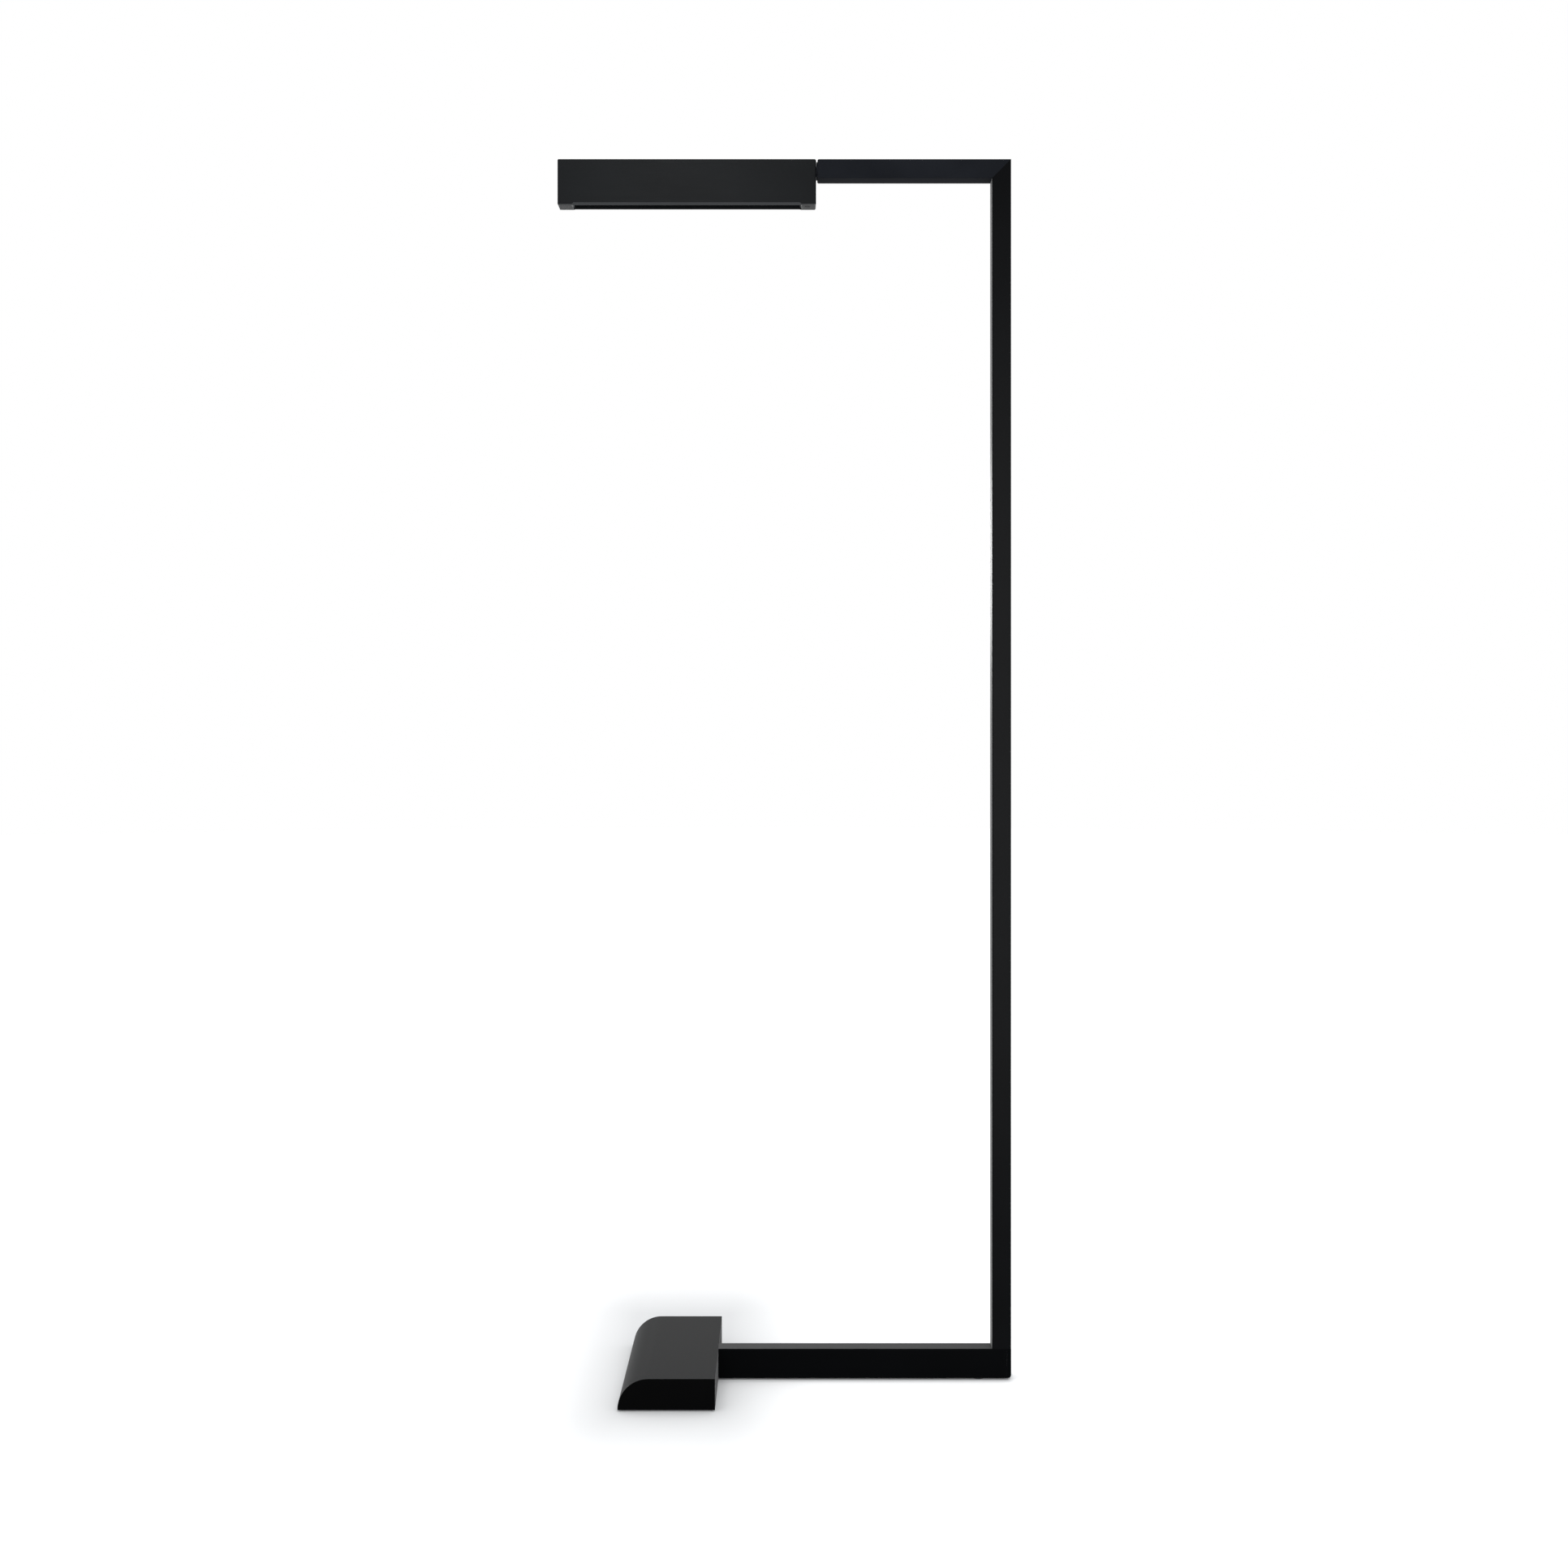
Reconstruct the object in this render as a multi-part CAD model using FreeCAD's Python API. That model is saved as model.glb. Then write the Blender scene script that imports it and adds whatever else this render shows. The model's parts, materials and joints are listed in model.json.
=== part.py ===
"""Free-standing C-frame floor light whose LED head turns on its arm. Millimetres.

X runs along the foot bar, the arm and the head, Y from front to back, Z up from the floor.
The origin is on the floor, under the middle of the light. Each function makes one sub-part,
and the list at the end writes one STEP file for each.
"""

import FreeCAD, Part
import math
import os

V = FreeCAD.Vector
UP = V(0, 0, 1)
RIGHTWARD = V(1, 0, 0)
LEFTWARD = V(-1, 0, 0)
FORWARD = V(0, -1, 0)

# The whole light
HEIGHT = 1286.0
WIDTH = 478.0
LEFT = -WIDTH / 2
RIGHT = WIDTH / 2

# Square tube of the post and the arm. The foot bar and the head are as deep as the tube.
TUBE = 20.0
HALF = TUBE / 2
WALL = 1.5
TUBE_CORNER = 1.0
POST_LEFT = RIGHT - TUBE
POST_X = RIGHT - HALF
ARM_Z = HEIGHT - HALF

# Clearances
FIT = 0.05  # radial, round screws, pins and the turning spindle
SLACK = 0.1  # on each side of what slides into a tube or stands face to face with a moving part
BORE_HALF = HALF - WALL
PLUG_HALF = BORE_HALF - SLACK

# Foot: pad, base block and foot bar
PAD_HEIGHT = 1.5
FOOT_HEIGHT = 31.0
FOOT_TOP = PAD_HEIGHT + FOOT_HEIGHT
FOOT_MIDDLE = PAD_HEIGHT + FOOT_HEIGHT / 2
BAR_FLOOR = PAD_HEIGHT + WALL
BAR_CEILING = FOOT_TOP - WALL
BASE_DEPTH = 204.0
BASE_WIDTH = 98.0
BASE_RIGHT = -69.5
BASE_LEFT = BASE_RIGHT - BASE_WIDTH
BASE_EDGE = 0.6
PAD_INSET = 1.5
PAD_CORNER = 4.0

# Tenon between the foot bar and the base block
TONGUE_LENGTH = 24.5
TONGUE_Z = (FOOT_MIDDLE - 10, FOOT_MIDDLE + 10)
TENON_RIGHT = BASE_RIGHT + 54.5

# Closed end of the foot bar
END_CAP_LEFT = RIGHT - 4.5
END_CAP_PLUG = 2.9
END_CAP_EASING = 4.0

# Root block, which stands in the foot bar and holds the post
ROOT_FOOT_RIGHT = 231.3
ROOT_TOP = FOOT_TOP + 44

# Foot glide
GLIDE_X = 205.0
GLIDE_RADIUS = 8.0
GLIDE_STEM_RADIUS = 2.6
GLIDE_STEM_TOP = 7.0

# Cable inlet at the back of the foot bar
GLAND_X = 30.0
GLAND_BORE = 3.25
GLAND_THREAD = 6.0
GLAND_INSIDE_Y = 3.5
GLAND_OUTSIDE_Y = 20.0
GLAND_HEX_HEIGHT = 3.0

# Terminal block in the foot bar
TERMINAL_X = (75.0, 103.0)
TERMINAL_HALF_WIDTH = 7.0
TERMINAL_HALF_HEIGHT = 6.0
TERMINAL_POLES_Y = (-3.5, 3.5)
TERMINAL_CLAMPS_X = (81.0, 97.0)
TERMINAL_WIRE_HOLE = 1.5

# Supply lead, held inside the frame from the terminal block to the head
LEAD_RADIUS = 2.0
CORE_RADIUS = 0.8
LEAD_START_X = TERMINAL_X[1] + 10
LEAD_POST_X = 226.0
LEAD_FOOT_BEND = 10.0
LEAD_TOP_BEND = 12.0
CHANNEL_RADIUS = 2.8

# Mitre corner block
CORNER_ARM_LEFT = POST_LEFT - 40
CORNER_POST_BOTTOM = HEIGHT - 60

# Head
HEAD_RIGHT = 33.5
HEAD_HEIGHT = 48.0
HEAD_BOTTOM = HEIGHT - HEAD_HEIGHT
HEAD_WALL = 2.5
HEAD_CORNER = 0.8
CAVITY_HALF = HALF - HEAD_WALL
CAVITY_TOP = HEIGHT - HEAD_WALL
CAP_PLUG_HALF = CAVITY_HALF - SLACK
OUTER_PLATE_RIGHT = LEFT + 1.5
INNER_PLATE_LEFT = HEAD_RIGHT - 3.0
END_BLOCK = 17.0
APERTURE = (LEFT + END_BLOCK, HEAD_RIGHT - END_BLOCK)
LIP_BEVEL = 2.3
BLOCK_BEVEL = 2.0
OUTER_PLATE_EASING = 1.2
INNER_PLATE_EASING = 1.6

# Rails inside the head's side walls: the height of each one's underside, and how far it stands out
RAIL_THICKNESS = 1.0
DIFFUSER_RAILS = (HEAD_BOTTOM + 7.5, HEAD_BOTTOM + 14.1)
SINK_RAILS = (HEAD_BOTTOM + 17.5, HEAD_BOTTOM + 22.6)
DIFFUSER_RAIL_REACH = 0.8
SINK_RAIL_REACH = 0.6

# Diffuser, heat sink and LED board, from the aperture upwards
DIFFUSER_FLOOR = DIFFUSER_RAILS[0] + RAIL_THICKNESS
DIFFUSER_TOP = DIFFUSER_RAILS[1] - SLACK
DIFFUSER_PLATE = 2.0
DIFFUSER_LEG = 1.2
SINK_FLOOR = SINK_RAILS[0] + RAIL_THICKNESS
SINK_TOP = SINK_RAILS[1] - SLACK
SINK_X = (APERTURE[0] + 2, 9.0)
FIN_TOP = SINK_TOP + 4
FIN_THICKNESS = 1.0
FINS_Y = (-6.4, -4.2, 4.2, 6.4)
BOARD_THICKNESS = 1.6
BOARD_X = (SINK_X[0] + 4, 5.0)
BOARD_HALF = 6.5
BOARD_FLOOR = SINK_FLOOR - BOARD_THICKNESS
CHIP = (3.5, 2.8, 0.8)
CHIP_COUNT = 24
CHIP_PITCH = 9.0
WIRE_SLOT_X = (-166.0, -158.0)
WIRE_SLOT_HALF = 2.5

# LED driver
DRIVER_X = (-150.0, -14.0)
DRIVER_HALF = 7.0
DRIVER_FLOOR = SINK_TOP + 7
DRIVER_TOP = DRIVER_FLOOR + BOARD_THICKNESS
SPACERS_X = (-138.0, -31.0)
SPACER_FLATS = 5.0
STUD_RADIUS = 1.25
STUD_LENGTH = 3.0
DRIVER_INLET = (-26.0, -16.0)
WIRE_RADIUS = 0.5

# Swivel between the arm and the head, about the arm's own axis
GAP = 1.5
ARM_LEFT = HEAD_RIGHT + GAP
FLANGE = 3.0
FLANGE_EASING = 1.6
COLLAR_RADIUS = 9.3
COLLAR_BORE = 5.2
COLLAR_LEFT = HEAD_RIGHT + 0.3
PLUG_RIGHT = ARM_LEFT + 33
COUNTERBORE_LEFT = ARM_LEFT + 17
COUNTERBORE_RADIUS = 6.8
SPINDLE_RADIUS = 3.5
SPINDLE_BORE = 2.3
SPINDLE_X = (9.0, COUNTERBORE_LEFT + 4)
NUT_FLATS = 11.0
NUT_THICKNESS = 3.2
BUSH_RADIUS = 4.5
BUSH_FLANGE = 4.9
WASHER_RADIUS = 6.4
WASHER_THICKNESS = 1.0
SPRING_WASHER_HEIGHT = 1.4
SPRING_WASHER_THICKNESS = 0.8
STOP_RADIUS = 6.9
PIN_RADIUS = 1.2
PIN_SEAT = 6.0
GROOVE_HALF = PIN_RADIUS + 0.2
GROOVE_DEPTH = 2.5

# Dimmer button in the underside of the head's inner end block
BUTTON_X = 24.5
BUTTON_RADIUS = 2.9
BUTTON_HOLE = BUTTON_RADIUS + SLACK
BUTTON_PROUD = 0.2
BUTTON_FLANGE = 3.8
BUTTON_FLANGE_HEIGHT = 1.0
BUTTON_TRAVEL = 0.8
STEM_RADIUS = 1.2
POCKET_FLOOR = HEAD_BOTTOM + 3
POCKET_X = (APERTURE[1], 29.0)
POCKET_HALF = 4.2
SWITCH_BOARD_FLOOR = HEAD_BOTTOM + 13.5
SWITCH_BOARD_THICKNESS = 1.2
SWITCH_BOARD_HALF = 5.5
SOLDER_RELIEF_HALF = 3.0
SOLDER_RELIEF_HEIGHT = 2.0
SWITCH_BODY = 6.0
SWITCH_HEIGHT = 3.5
PLUNGER_RADIUS = 1.6
PLUNGER_HEIGHT = 1.0
SPRING_RADIUS = 2.6
SPRING_WIRE = 0.2
SPRING_TURNS = 4
ARCS_PER_TURN = 8


# --- Plain solids -------------------------------------------------------------------------------


def block(x, y, z):
    """A block between the low and high value of each pair."""
    return Part.makeBox(x[1] - x[0], y[1] - y[0], z[1] - z[0], V(x[0], y[0], z[0]))


def across(half):
    """The pair of values that stand the same distance to each side of zero."""
    return (-half, half)


def rod(radius, start, end):
    """A cylinder from start to end."""
    along = end - start
    return Part.makeCylinder(radius, along.Length, start, along)


def taper(start_radius, end_radius, start, end):
    """A cone with its point cut off, from start to end."""
    along = end - start
    return Part.makeCone(start_radius, end_radius, along.Length, start, along)


def ring(outer, inner, start, end):
    """A round tube from start to end."""
    return rod(outer, start, end).cut(rod(inner, start, end))


def hexagon(flats, start, end):
    """A hexagonal prism from start to end, as wide across its flats as stated."""
    along = end - start
    radius = flats / math.sqrt(3)
    turns = [math.radians(60 * side) for side in range(7)]
    outline = Part.makePolygon([V(radius * math.cos(a), radius * math.sin(a), 0) for a in turns])
    prism = Part.Face(outline).extrude(V(0, 0, along.Length))
    prism.Placement = FreeCAD.Placement(start, FreeCAD.Rotation(UP, along))
    return prism


def upright_face(points):
    """The flat face in the plane Y = 0 whose corners are pairs of X and Z."""
    corners = [V(x, 0, z) for x, z in points]
    return Part.Face(Part.makePolygon(corners + corners[:1]))


def edges_along(shape, direction):
    """The straight edges of a shape that run along a direction."""
    straight = [e for e in shape.Edges if isinstance(e.Curve, Part.Line)]
    return [e for e in straight if abs(e.tangentAt(e.FirstParameter).dot(direction)) > 0.999]


def edges_at(shape, axis, value):
    """The edges of a shape that lie wholly in the plane where the named coordinate is value."""
    low = axis.upper() + "Min"
    high = axis.upper() + "Max"
    boxes = [(e, e.BoundBox) for e in shape.Edges]
    return [e for e, b in boxes if abs(getattr(b, low) - value) + abs(getattr(b, high) - value) < 0.01]


def bar(x, y, z, direction, corner):
    """A block whose long edges, along direction, are rounded."""
    solid = block(x, y, z)
    return solid.makeFillet(corner, edges_along(solid, direction))


def grouped(solids):
    """Separate solids that share one node."""
    return Part.makeCompound(list(solids))


def round_wire(radius, points, bends):
    """A solid round wire: a rod along each straight run, and a part of a torus round each inner point.

    The bends are the radii that the wire's middle turns at.
    """
    pieces = []
    start = points[0]
    for before, corner, after, bend in zip(points, points[1:], points[2:], bends):
        towards = (corner - before).normalize()
        onwards = (after - corner).normalize()
        turn = towards.getAngle(onwards)
        reach = bend * math.tan(turn / 2)
        enter = corner - towards * reach
        hinge = towards.cross(onwards).normalize()
        disc = Part.Face(Part.Wire(Part.makeCircle(radius, enter, towards)))
        pieces.append(rod(radius, start, enter))
        pieces.append(disc.revolve(enter + hinge.cross(towards) * bend, hinge, math.degrees(turn)))
        start = corner + onwards * reach
    pieces.append(rod(radius, start, points[-1]))
    return pieces[0].multiFuse(pieces[1:]).removeSplitter()


# --- Fasteners ----------------------------------------------------------------------------------


class Screws:
    """Screws of one size that point one way, and the seats that they need in the parts they join.

    A point is where the screw meets the surface: the outer face of a countersunk or headless
    screw, and the underside of a pan head.
    """

    def __init__(self, radius, length, direction, points, head):
        self.radius = radius
        self.length = length
        self.direction = direction
        self.points = points
        self.head = head

    def body(self, point, extra):
        """The space of one screw, made larger all round by extra."""
        radius = self.radius + extra
        solid = rod(radius, point, point + self.direction * self.length)
        if self.head == "countersunk":
            end = point + self.direction * self.radius
            solid = solid.fuse(taper(2 * self.radius + extra, radius, point, end)).removeSplitter()
        return solid

    def screw(self, point):
        """One screw, with its hexagon socket."""
        solid = self.body(point, 0)
        top = point
        if self.head == "pan":
            top = point - self.direction * 1.2 * self.radius
            solid = solid.fuse(rod(1.9 * self.radius, top, point)).removeSplitter()
        socket = hexagon(1.25 * self.radius, top, top + self.direction * 1.1 * self.radius)
        return solid.cut(socket)

    def node(self):
        """All the screws."""
        return grouped(self.screw(point) for point in self.points)

    def seat_in(self, shape):
        """The shape with a seat cut for each screw."""
        for point in self.points:
            shape = shape.cut(self.body(point, FIT))
        return shape


BASE_BOLTS = Screws(3.0, 16.0, UP, [V(BASE_RIGHT - x, 0, PAD_HEIGHT) for x in (7, 17.5)], "countersunk")
TENON_BOLTS = Screws(2.5, 12.0, UP, [V(BASE_RIGHT + x, 0, PAD_HEIGHT) for x in (14, 40)], "countersunk")
POST_BOLTS = Screws(2.0, 11.0, UP, [V(LEAD_POST_X, y, PAD_HEIGHT) for y in (-5, 5)], "countersunk")
END_CAP_SCREW = Screws(2.0, 14.0, LEFTWARD, [V(RIGHT, 0, PAD_HEIGHT + 7.5)], "countersunk")
POST_SET_SCREWS = Screws(2.0, 4.5, FORWARD, [V(POST_X, HALF, FOOT_TOP + z) for z in (12, 32)], "none")
CORNER_SCREWS = Screws(
    2.0,
    4.5,
    FORWARD,
    [V(CORNER_ARM_LEFT + x, HALF, ARM_Z) for x in (8, 24)]
    + [V(POST_X, HALF, CORNER_POST_BOTTOM + z) for z in (8, 24)],
    "none",
)
PLUG_SCREWS = Screws(2.0, 4.5, FORWARD, [V(ARM_LEFT + x, HALF, ARM_Z) for x in (7, 13)], "none")
CAP_SCREWS = Screws(
    1.5,
    4.5,
    FORWARD,
    [V(x, HALF, HEAD_BOTTOM + z) for x in (LEFT + END_BLOCK / 2, BUTTON_X) for z in (10, 32)],
    "countersunk",
)
BOARD_SCREWS = Screws(
    1.0, 4.4, UP, [V(x, 4.4, BOARD_FLOOR) for x in (-203.5, -140.5, -68.5, -5.5)], "pan"
)
DRIVER_SCREWS = Screws(
    STUD_RADIUS, 5.0, V(0, 0, -1), [V(x, 0, DRIVER_TOP) for x in SPACERS_X], "pan"
)


# --- Foot ---------------------------------------------------------------------------------------


def base_block():
    """The weight: a solid block whose left long edge is one quarter-round of its full height."""
    shoulder = BASE_LEFT + FOOT_HEIGHT
    half_turn = math.sqrt(0.5) * FOOT_HEIGHT
    start = V(BASE_LEFT, 0, PAD_HEIGHT)
    crown = V(shoulder, 0, FOOT_TOP)
    middle = V(shoulder - half_turn, 0, PAD_HEIGHT + half_turn)
    corner = V(BASE_RIGHT, 0, FOOT_TOP)
    heel = V(BASE_RIGHT, 0, PAD_HEIGHT)
    outline = Part.Wire(
        [
            Part.Arc(start, middle, crown).toShape(),
            Part.LineSegment(crown, corner).toShape(),
            Part.LineSegment(corner, heel).toShape(),
            Part.LineSegment(heel, start).toShape(),
        ]
    )
    solid = Part.Face(outline).extrude(V(0, BASE_DEPTH, 0))
    solid.translate(V(0, -BASE_DEPTH / 2, 0))
    ends = edges_at(solid, "y", -BASE_DEPTH / 2) + edges_at(solid, "y", BASE_DEPTH / 2)
    eased = [e for e in ends if e.BoundBox.ZMax > FOOT_TOP - 0.01]
    solid = solid.makeFillet(BASE_EDGE, eased)
    mortise = block(
        (BASE_RIGHT - TONGUE_LENGTH - SLACK, BASE_RIGHT),
        across(PLUG_HALF + SLACK),
        (TONGUE_Z[0] - SLACK, TONGUE_Z[1] + SLACK),
    )
    return BASE_BOLTS.seat_in(solid.cut(mortise))


def base_pad():
    """The soft sheet that the block stands on."""
    return bar(
        (BASE_LEFT + PAD_INSET, BASE_RIGHT - PAD_INSET),
        across(BASE_DEPTH / 2 - PAD_INSET),
        (0, PAD_HEIGHT),
        UP,
        PAD_CORNER,
    )


def bar_tenon():
    """The steel key whose shank fills the foot bar's end and whose tongue sits in the block."""
    shank = block(
        (BASE_RIGHT, TENON_RIGHT), across(PLUG_HALF), (BAR_FLOOR + SLACK, BAR_CEILING - SLACK)
    )
    tongue = block((BASE_RIGHT - TONGUE_LENGTH, BASE_RIGHT), across(PLUG_HALF), TONGUE_Z)
    return TENON_BOLTS.seat_in(BASE_BOLTS.seat_in(shank.fuse(tongue)))


def foot_bar():
    """The rectangular tube from the base block to under the post."""
    outer = bar(
        (BASE_RIGHT, END_CAP_LEFT), across(HALF), (PAD_HEIGHT, FOOT_TOP), RIGHTWARD, TUBE_CORNER
    )
    tube = outer.cut(block((BASE_RIGHT, END_CAP_LEFT), across(BORE_HALF), (BAR_FLOOR, BAR_CEILING)))
    root_opening = block(
        (POST_LEFT + WALL, ROOT_FOOT_RIGHT + SLACK), across(PLUG_HALF + FIT), (BAR_CEILING, FOOT_TOP)
    )
    gland_hole = rod(GLAND_THREAD + FIT, V(GLAND_X, BORE_HALF, FOOT_MIDDLE), V(GLAND_X, HALF, FOOT_MIDDLE))
    glide_hole = rod(GLIDE_STEM_RADIUS + FIT, V(GLIDE_X, 0, PAD_HEIGHT), V(GLIDE_X, 0, BAR_FLOOR))
    tube = tube.cut(root_opening).cut(gland_hole).cut(glide_hole)
    return POST_BOLTS.seat_in(TENON_BOLTS.seat_in(tube))


def foot_bar_end_cap():
    """The plug that closes the foot bar, with its lower outer edge eased."""
    cap = bar((END_CAP_LEFT, RIGHT), across(HALF), (PAD_HEIGHT, FOOT_TOP), RIGHTWARD, TUBE_CORNER)
    quarter = block((RIGHT - END_CAP_EASING, RIGHT), across(HALF), (PAD_HEIGHT, PAD_HEIGHT + END_CAP_EASING))
    centre = V(RIGHT - END_CAP_EASING, 0, PAD_HEIGHT + END_CAP_EASING)
    easing = quarter.cut(rod(END_CAP_EASING, centre - V(0, HALF, 0), centre + V(0, HALF, 0)))
    plug = block(
        (END_CAP_LEFT - END_CAP_PLUG, END_CAP_LEFT),
        across(PLUG_HALF),
        (BAR_FLOOR + SLACK, BAR_CEILING - SLACK),
    )
    return END_CAP_SCREW.seat_in(cap.cut(easing).fuse(plug))


def foot_glide():
    """The button under the post end, level with the base pad's underside."""
    disc = rod(GLIDE_RADIUS, V(GLIDE_X, 0, 0), V(GLIDE_X, 0, PAD_HEIGHT))
    stem = rod(GLIDE_STEM_RADIUS, V(GLIDE_X, 0, PAD_HEIGHT), V(GLIDE_X, 0, GLIDE_STEM_TOP))
    return disc.fuse(stem).removeSplitter()


def cable_gland():
    """The inlet: a hexagon and dome outside the foot bar, a threaded body inside, bored through."""
    inside = V(GLAND_X, GLAND_INSIDE_Y, FOOT_MIDDLE)
    wall = V(GLAND_X, HALF, FOOT_MIDDLE)
    shoulder = V(GLAND_X, HALF + GLAND_HEX_HEIGHT, FOOT_MIDDLE)
    mouth = V(GLAND_X, GLAND_OUTSIDE_Y, FOOT_MIDDLE)
    body = rod(GLAND_THREAD, inside, wall)
    collar = hexagon(2.5 * GLAND_THREAD, wall, shoulder)
    dome = taper(1.15 * GLAND_THREAD, 0.85 * GLAND_THREAD, shoulder, mouth)
    return body.fuse([collar, dome]).cut(rod(GLAND_BORE, inside, mouth))


def gland_nut():
    """The nut that holds the gland from inside the foot bar."""
    start = V(GLAND_X, BORE_HALF - SLACK - 3, FOOT_MIDDLE)
    end = V(GLAND_X, BORE_HALF - SLACK, FOOT_MIDDLE)
    return hexagon(2.5 * GLAND_THREAD, start, end).cut(rod(GLAND_THREAD + FIT, start, end))


def terminal_block():
    """The two-pole block where a supply cord would end and the inner lead begins."""
    top = FOOT_MIDDLE + TERMINAL_HALF_HEIGHT
    body = block(
        TERMINAL_X, across(TERMINAL_HALF_WIDTH), (FOOT_MIDDLE - TERMINAL_HALF_HEIGHT, top)
    )
    for y in TERMINAL_POLES_Y:
        for x in TERMINAL_CLAMPS_X:
            body = body.fuse(rod(2.6, V(x, y, top), V(x, y, top + 3)))
        wire_way = rod(
            TERMINAL_WIRE_HOLE, V(TERMINAL_X[0], y, FOOT_MIDDLE), V(TERMINAL_X[1], y, FOOT_MIDDLE)
        )
        body = body.cut(wire_way)
        for x in TERMINAL_CLAMPS_X:
            body = body.cut(rod(1.6, V(x, y, FOOT_MIDDLE), V(x, y, top + 3)))
    return body


def terminal_screws():
    """The clamp screws in the terminal block."""
    low = FOOT_MIDDLE + TERMINAL_WIRE_HOLE
    high = FOOT_MIDDLE + TERMINAL_HALF_HEIGHT + 2
    solids = []
    for y in TERMINAL_POLES_Y:
        for x in TERMINAL_CLAMPS_X:
            slot = block((x - 2, x + 2), (y - 0.25, y + 0.25), (high - 0.8, high))
            solids.append(rod(1.5, V(x, y, low), V(x, y, high)).cut(slot))
    return grouped(solids)


def lead_route(radius, start_x):
    """A round solid along the lead's route, from start_x in the foot bar to the spindle's mouth."""
    points = [
        V(start_x, 0, FOOT_MIDDLE),
        V(LEAD_POST_X, 0, FOOT_MIDDLE),
        V(LEAD_POST_X, 0, ARM_Z),
        V(SPINDLE_X[0], 0, ARM_Z),
    ]
    return round_wire(radius, points, [LEAD_FOOT_BEND, LEAD_TOP_BEND])


def supply_lead():
    """The two-core lead from the terminal block up the post and along the arm to the swivel."""
    lead = lead_route(LEAD_RADIUS, LEAD_START_X)
    for side, pole in zip((-1, 1), TERMINAL_POLES_Y):
        sheath_end = V(LEAD_START_X, side * 0.9, FOOT_MIDDLE)
        mouth = V(TERMINAL_X[1] + 1, pole, FOOT_MIDDLE)
        tip = V(TERMINAL_CLAMPS_X[1] + 2, pole, FOOT_MIDDLE)
        knee = Part.makeSphere(CORE_RADIUS, mouth)
        root = Part.makeSphere(CORE_RADIUS, sheath_end)
        lead = lead.fuse([rod(CORE_RADIUS, sheath_end, mouth), rod(CORE_RADIUS, mouth, tip), knee, root])
    return lead


# --- Post and arm -------------------------------------------------------------------------------


def post_root_block():
    """The block that the post slides over. Its foot reaches the foot bar's floor."""
    foot = block(
        (POST_LEFT + WALL + SLACK, ROOT_FOOT_RIGHT), across(PLUG_HALF), (BAR_FLOOR, FOOT_TOP)
    )
    head = block(
        (POST_LEFT + WALL + SLACK, RIGHT - WALL - SLACK), across(PLUG_HALF), (FOOT_TOP, ROOT_TOP)
    )
    solid = foot.fuse(head).cut(lead_route(CHANNEL_RADIUS, POST_LEFT - HALF))
    return END_CAP_SCREW.seat_in(POST_BOLTS.seat_in(POST_SET_SCREWS.seat_in(solid)))


def mitred(tube, keep_above):
    """The tube cut off along the 45 degree plane through the frame's outer top corner."""
    low = (RIGHT - 3 * TUBE, HEIGHT - 3 * TUBE)
    high = (RIGHT + TUBE, HEIGHT + TUBE)
    far = (high[0], low[1]) if keep_above else (low[0], high[1])
    wedge = upright_face([low, high, far]).extrude(V(0, 2 * TUBE, 0))
    wedge.translate(V(0, -TUBE, 0))
    return tube.cut(wedge)


def post_tube():
    """The upright square tube, from the foot bar's top to the mitre."""
    reach = (FOOT_TOP, HEIGHT)
    outer = bar((POST_LEFT, RIGHT), across(HALF), reach, UP, TUBE_CORNER)
    tube = outer.cut(block((POST_LEFT + WALL, RIGHT - WALL), across(BORE_HALF), reach))
    return CORNER_SCREWS.seat_in(POST_SET_SCREWS.seat_in(mitred(tube, False)))


def arm_tube():
    """The top square tube, from the mitre to the swivel."""
    reach = (ARM_LEFT + FLANGE, RIGHT)
    outer = bar(reach, across(HALF), (HEIGHT - TUBE, HEIGHT), RIGHTWARD, TUBE_CORNER)
    inner = block(reach, across(BORE_HALF), (HEIGHT - TUBE + WALL, HEIGHT - WALL))
    tube = mitred(outer.cut(inner), True)
    return PLUG_SCREWS.seat_in(CORNER_SCREWS.seat_in(tube))


def mitre_corner_block():
    """The L that locks the arm to the post, with a bent channel for the lead."""
    low_x = POST_LEFT + WALL + SLACK
    high_x = RIGHT - WALL - SLACK
    low_z = HEIGHT - TUBE + WALL + SLACK
    high_z = HEIGHT - WALL - SLACK
    in_post = block((low_x, high_x), across(PLUG_HALF), (CORNER_POST_BOTTOM, high_z))
    in_arm = block((CORNER_ARM_LEFT, high_x), across(PLUG_HALF), (low_z, high_z))
    solid = in_post.fuse(in_arm).removeSplitter()
    return CORNER_SCREWS.seat_in(solid.cut(lead_route(CHANNEL_RADIUS, POST_LEFT - HALF)))


# --- Swivel -------------------------------------------------------------------------------------


def on_axis(x):
    """The point of the swivel's axis at x."""
    return V(x, 0, ARM_Z)


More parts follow.
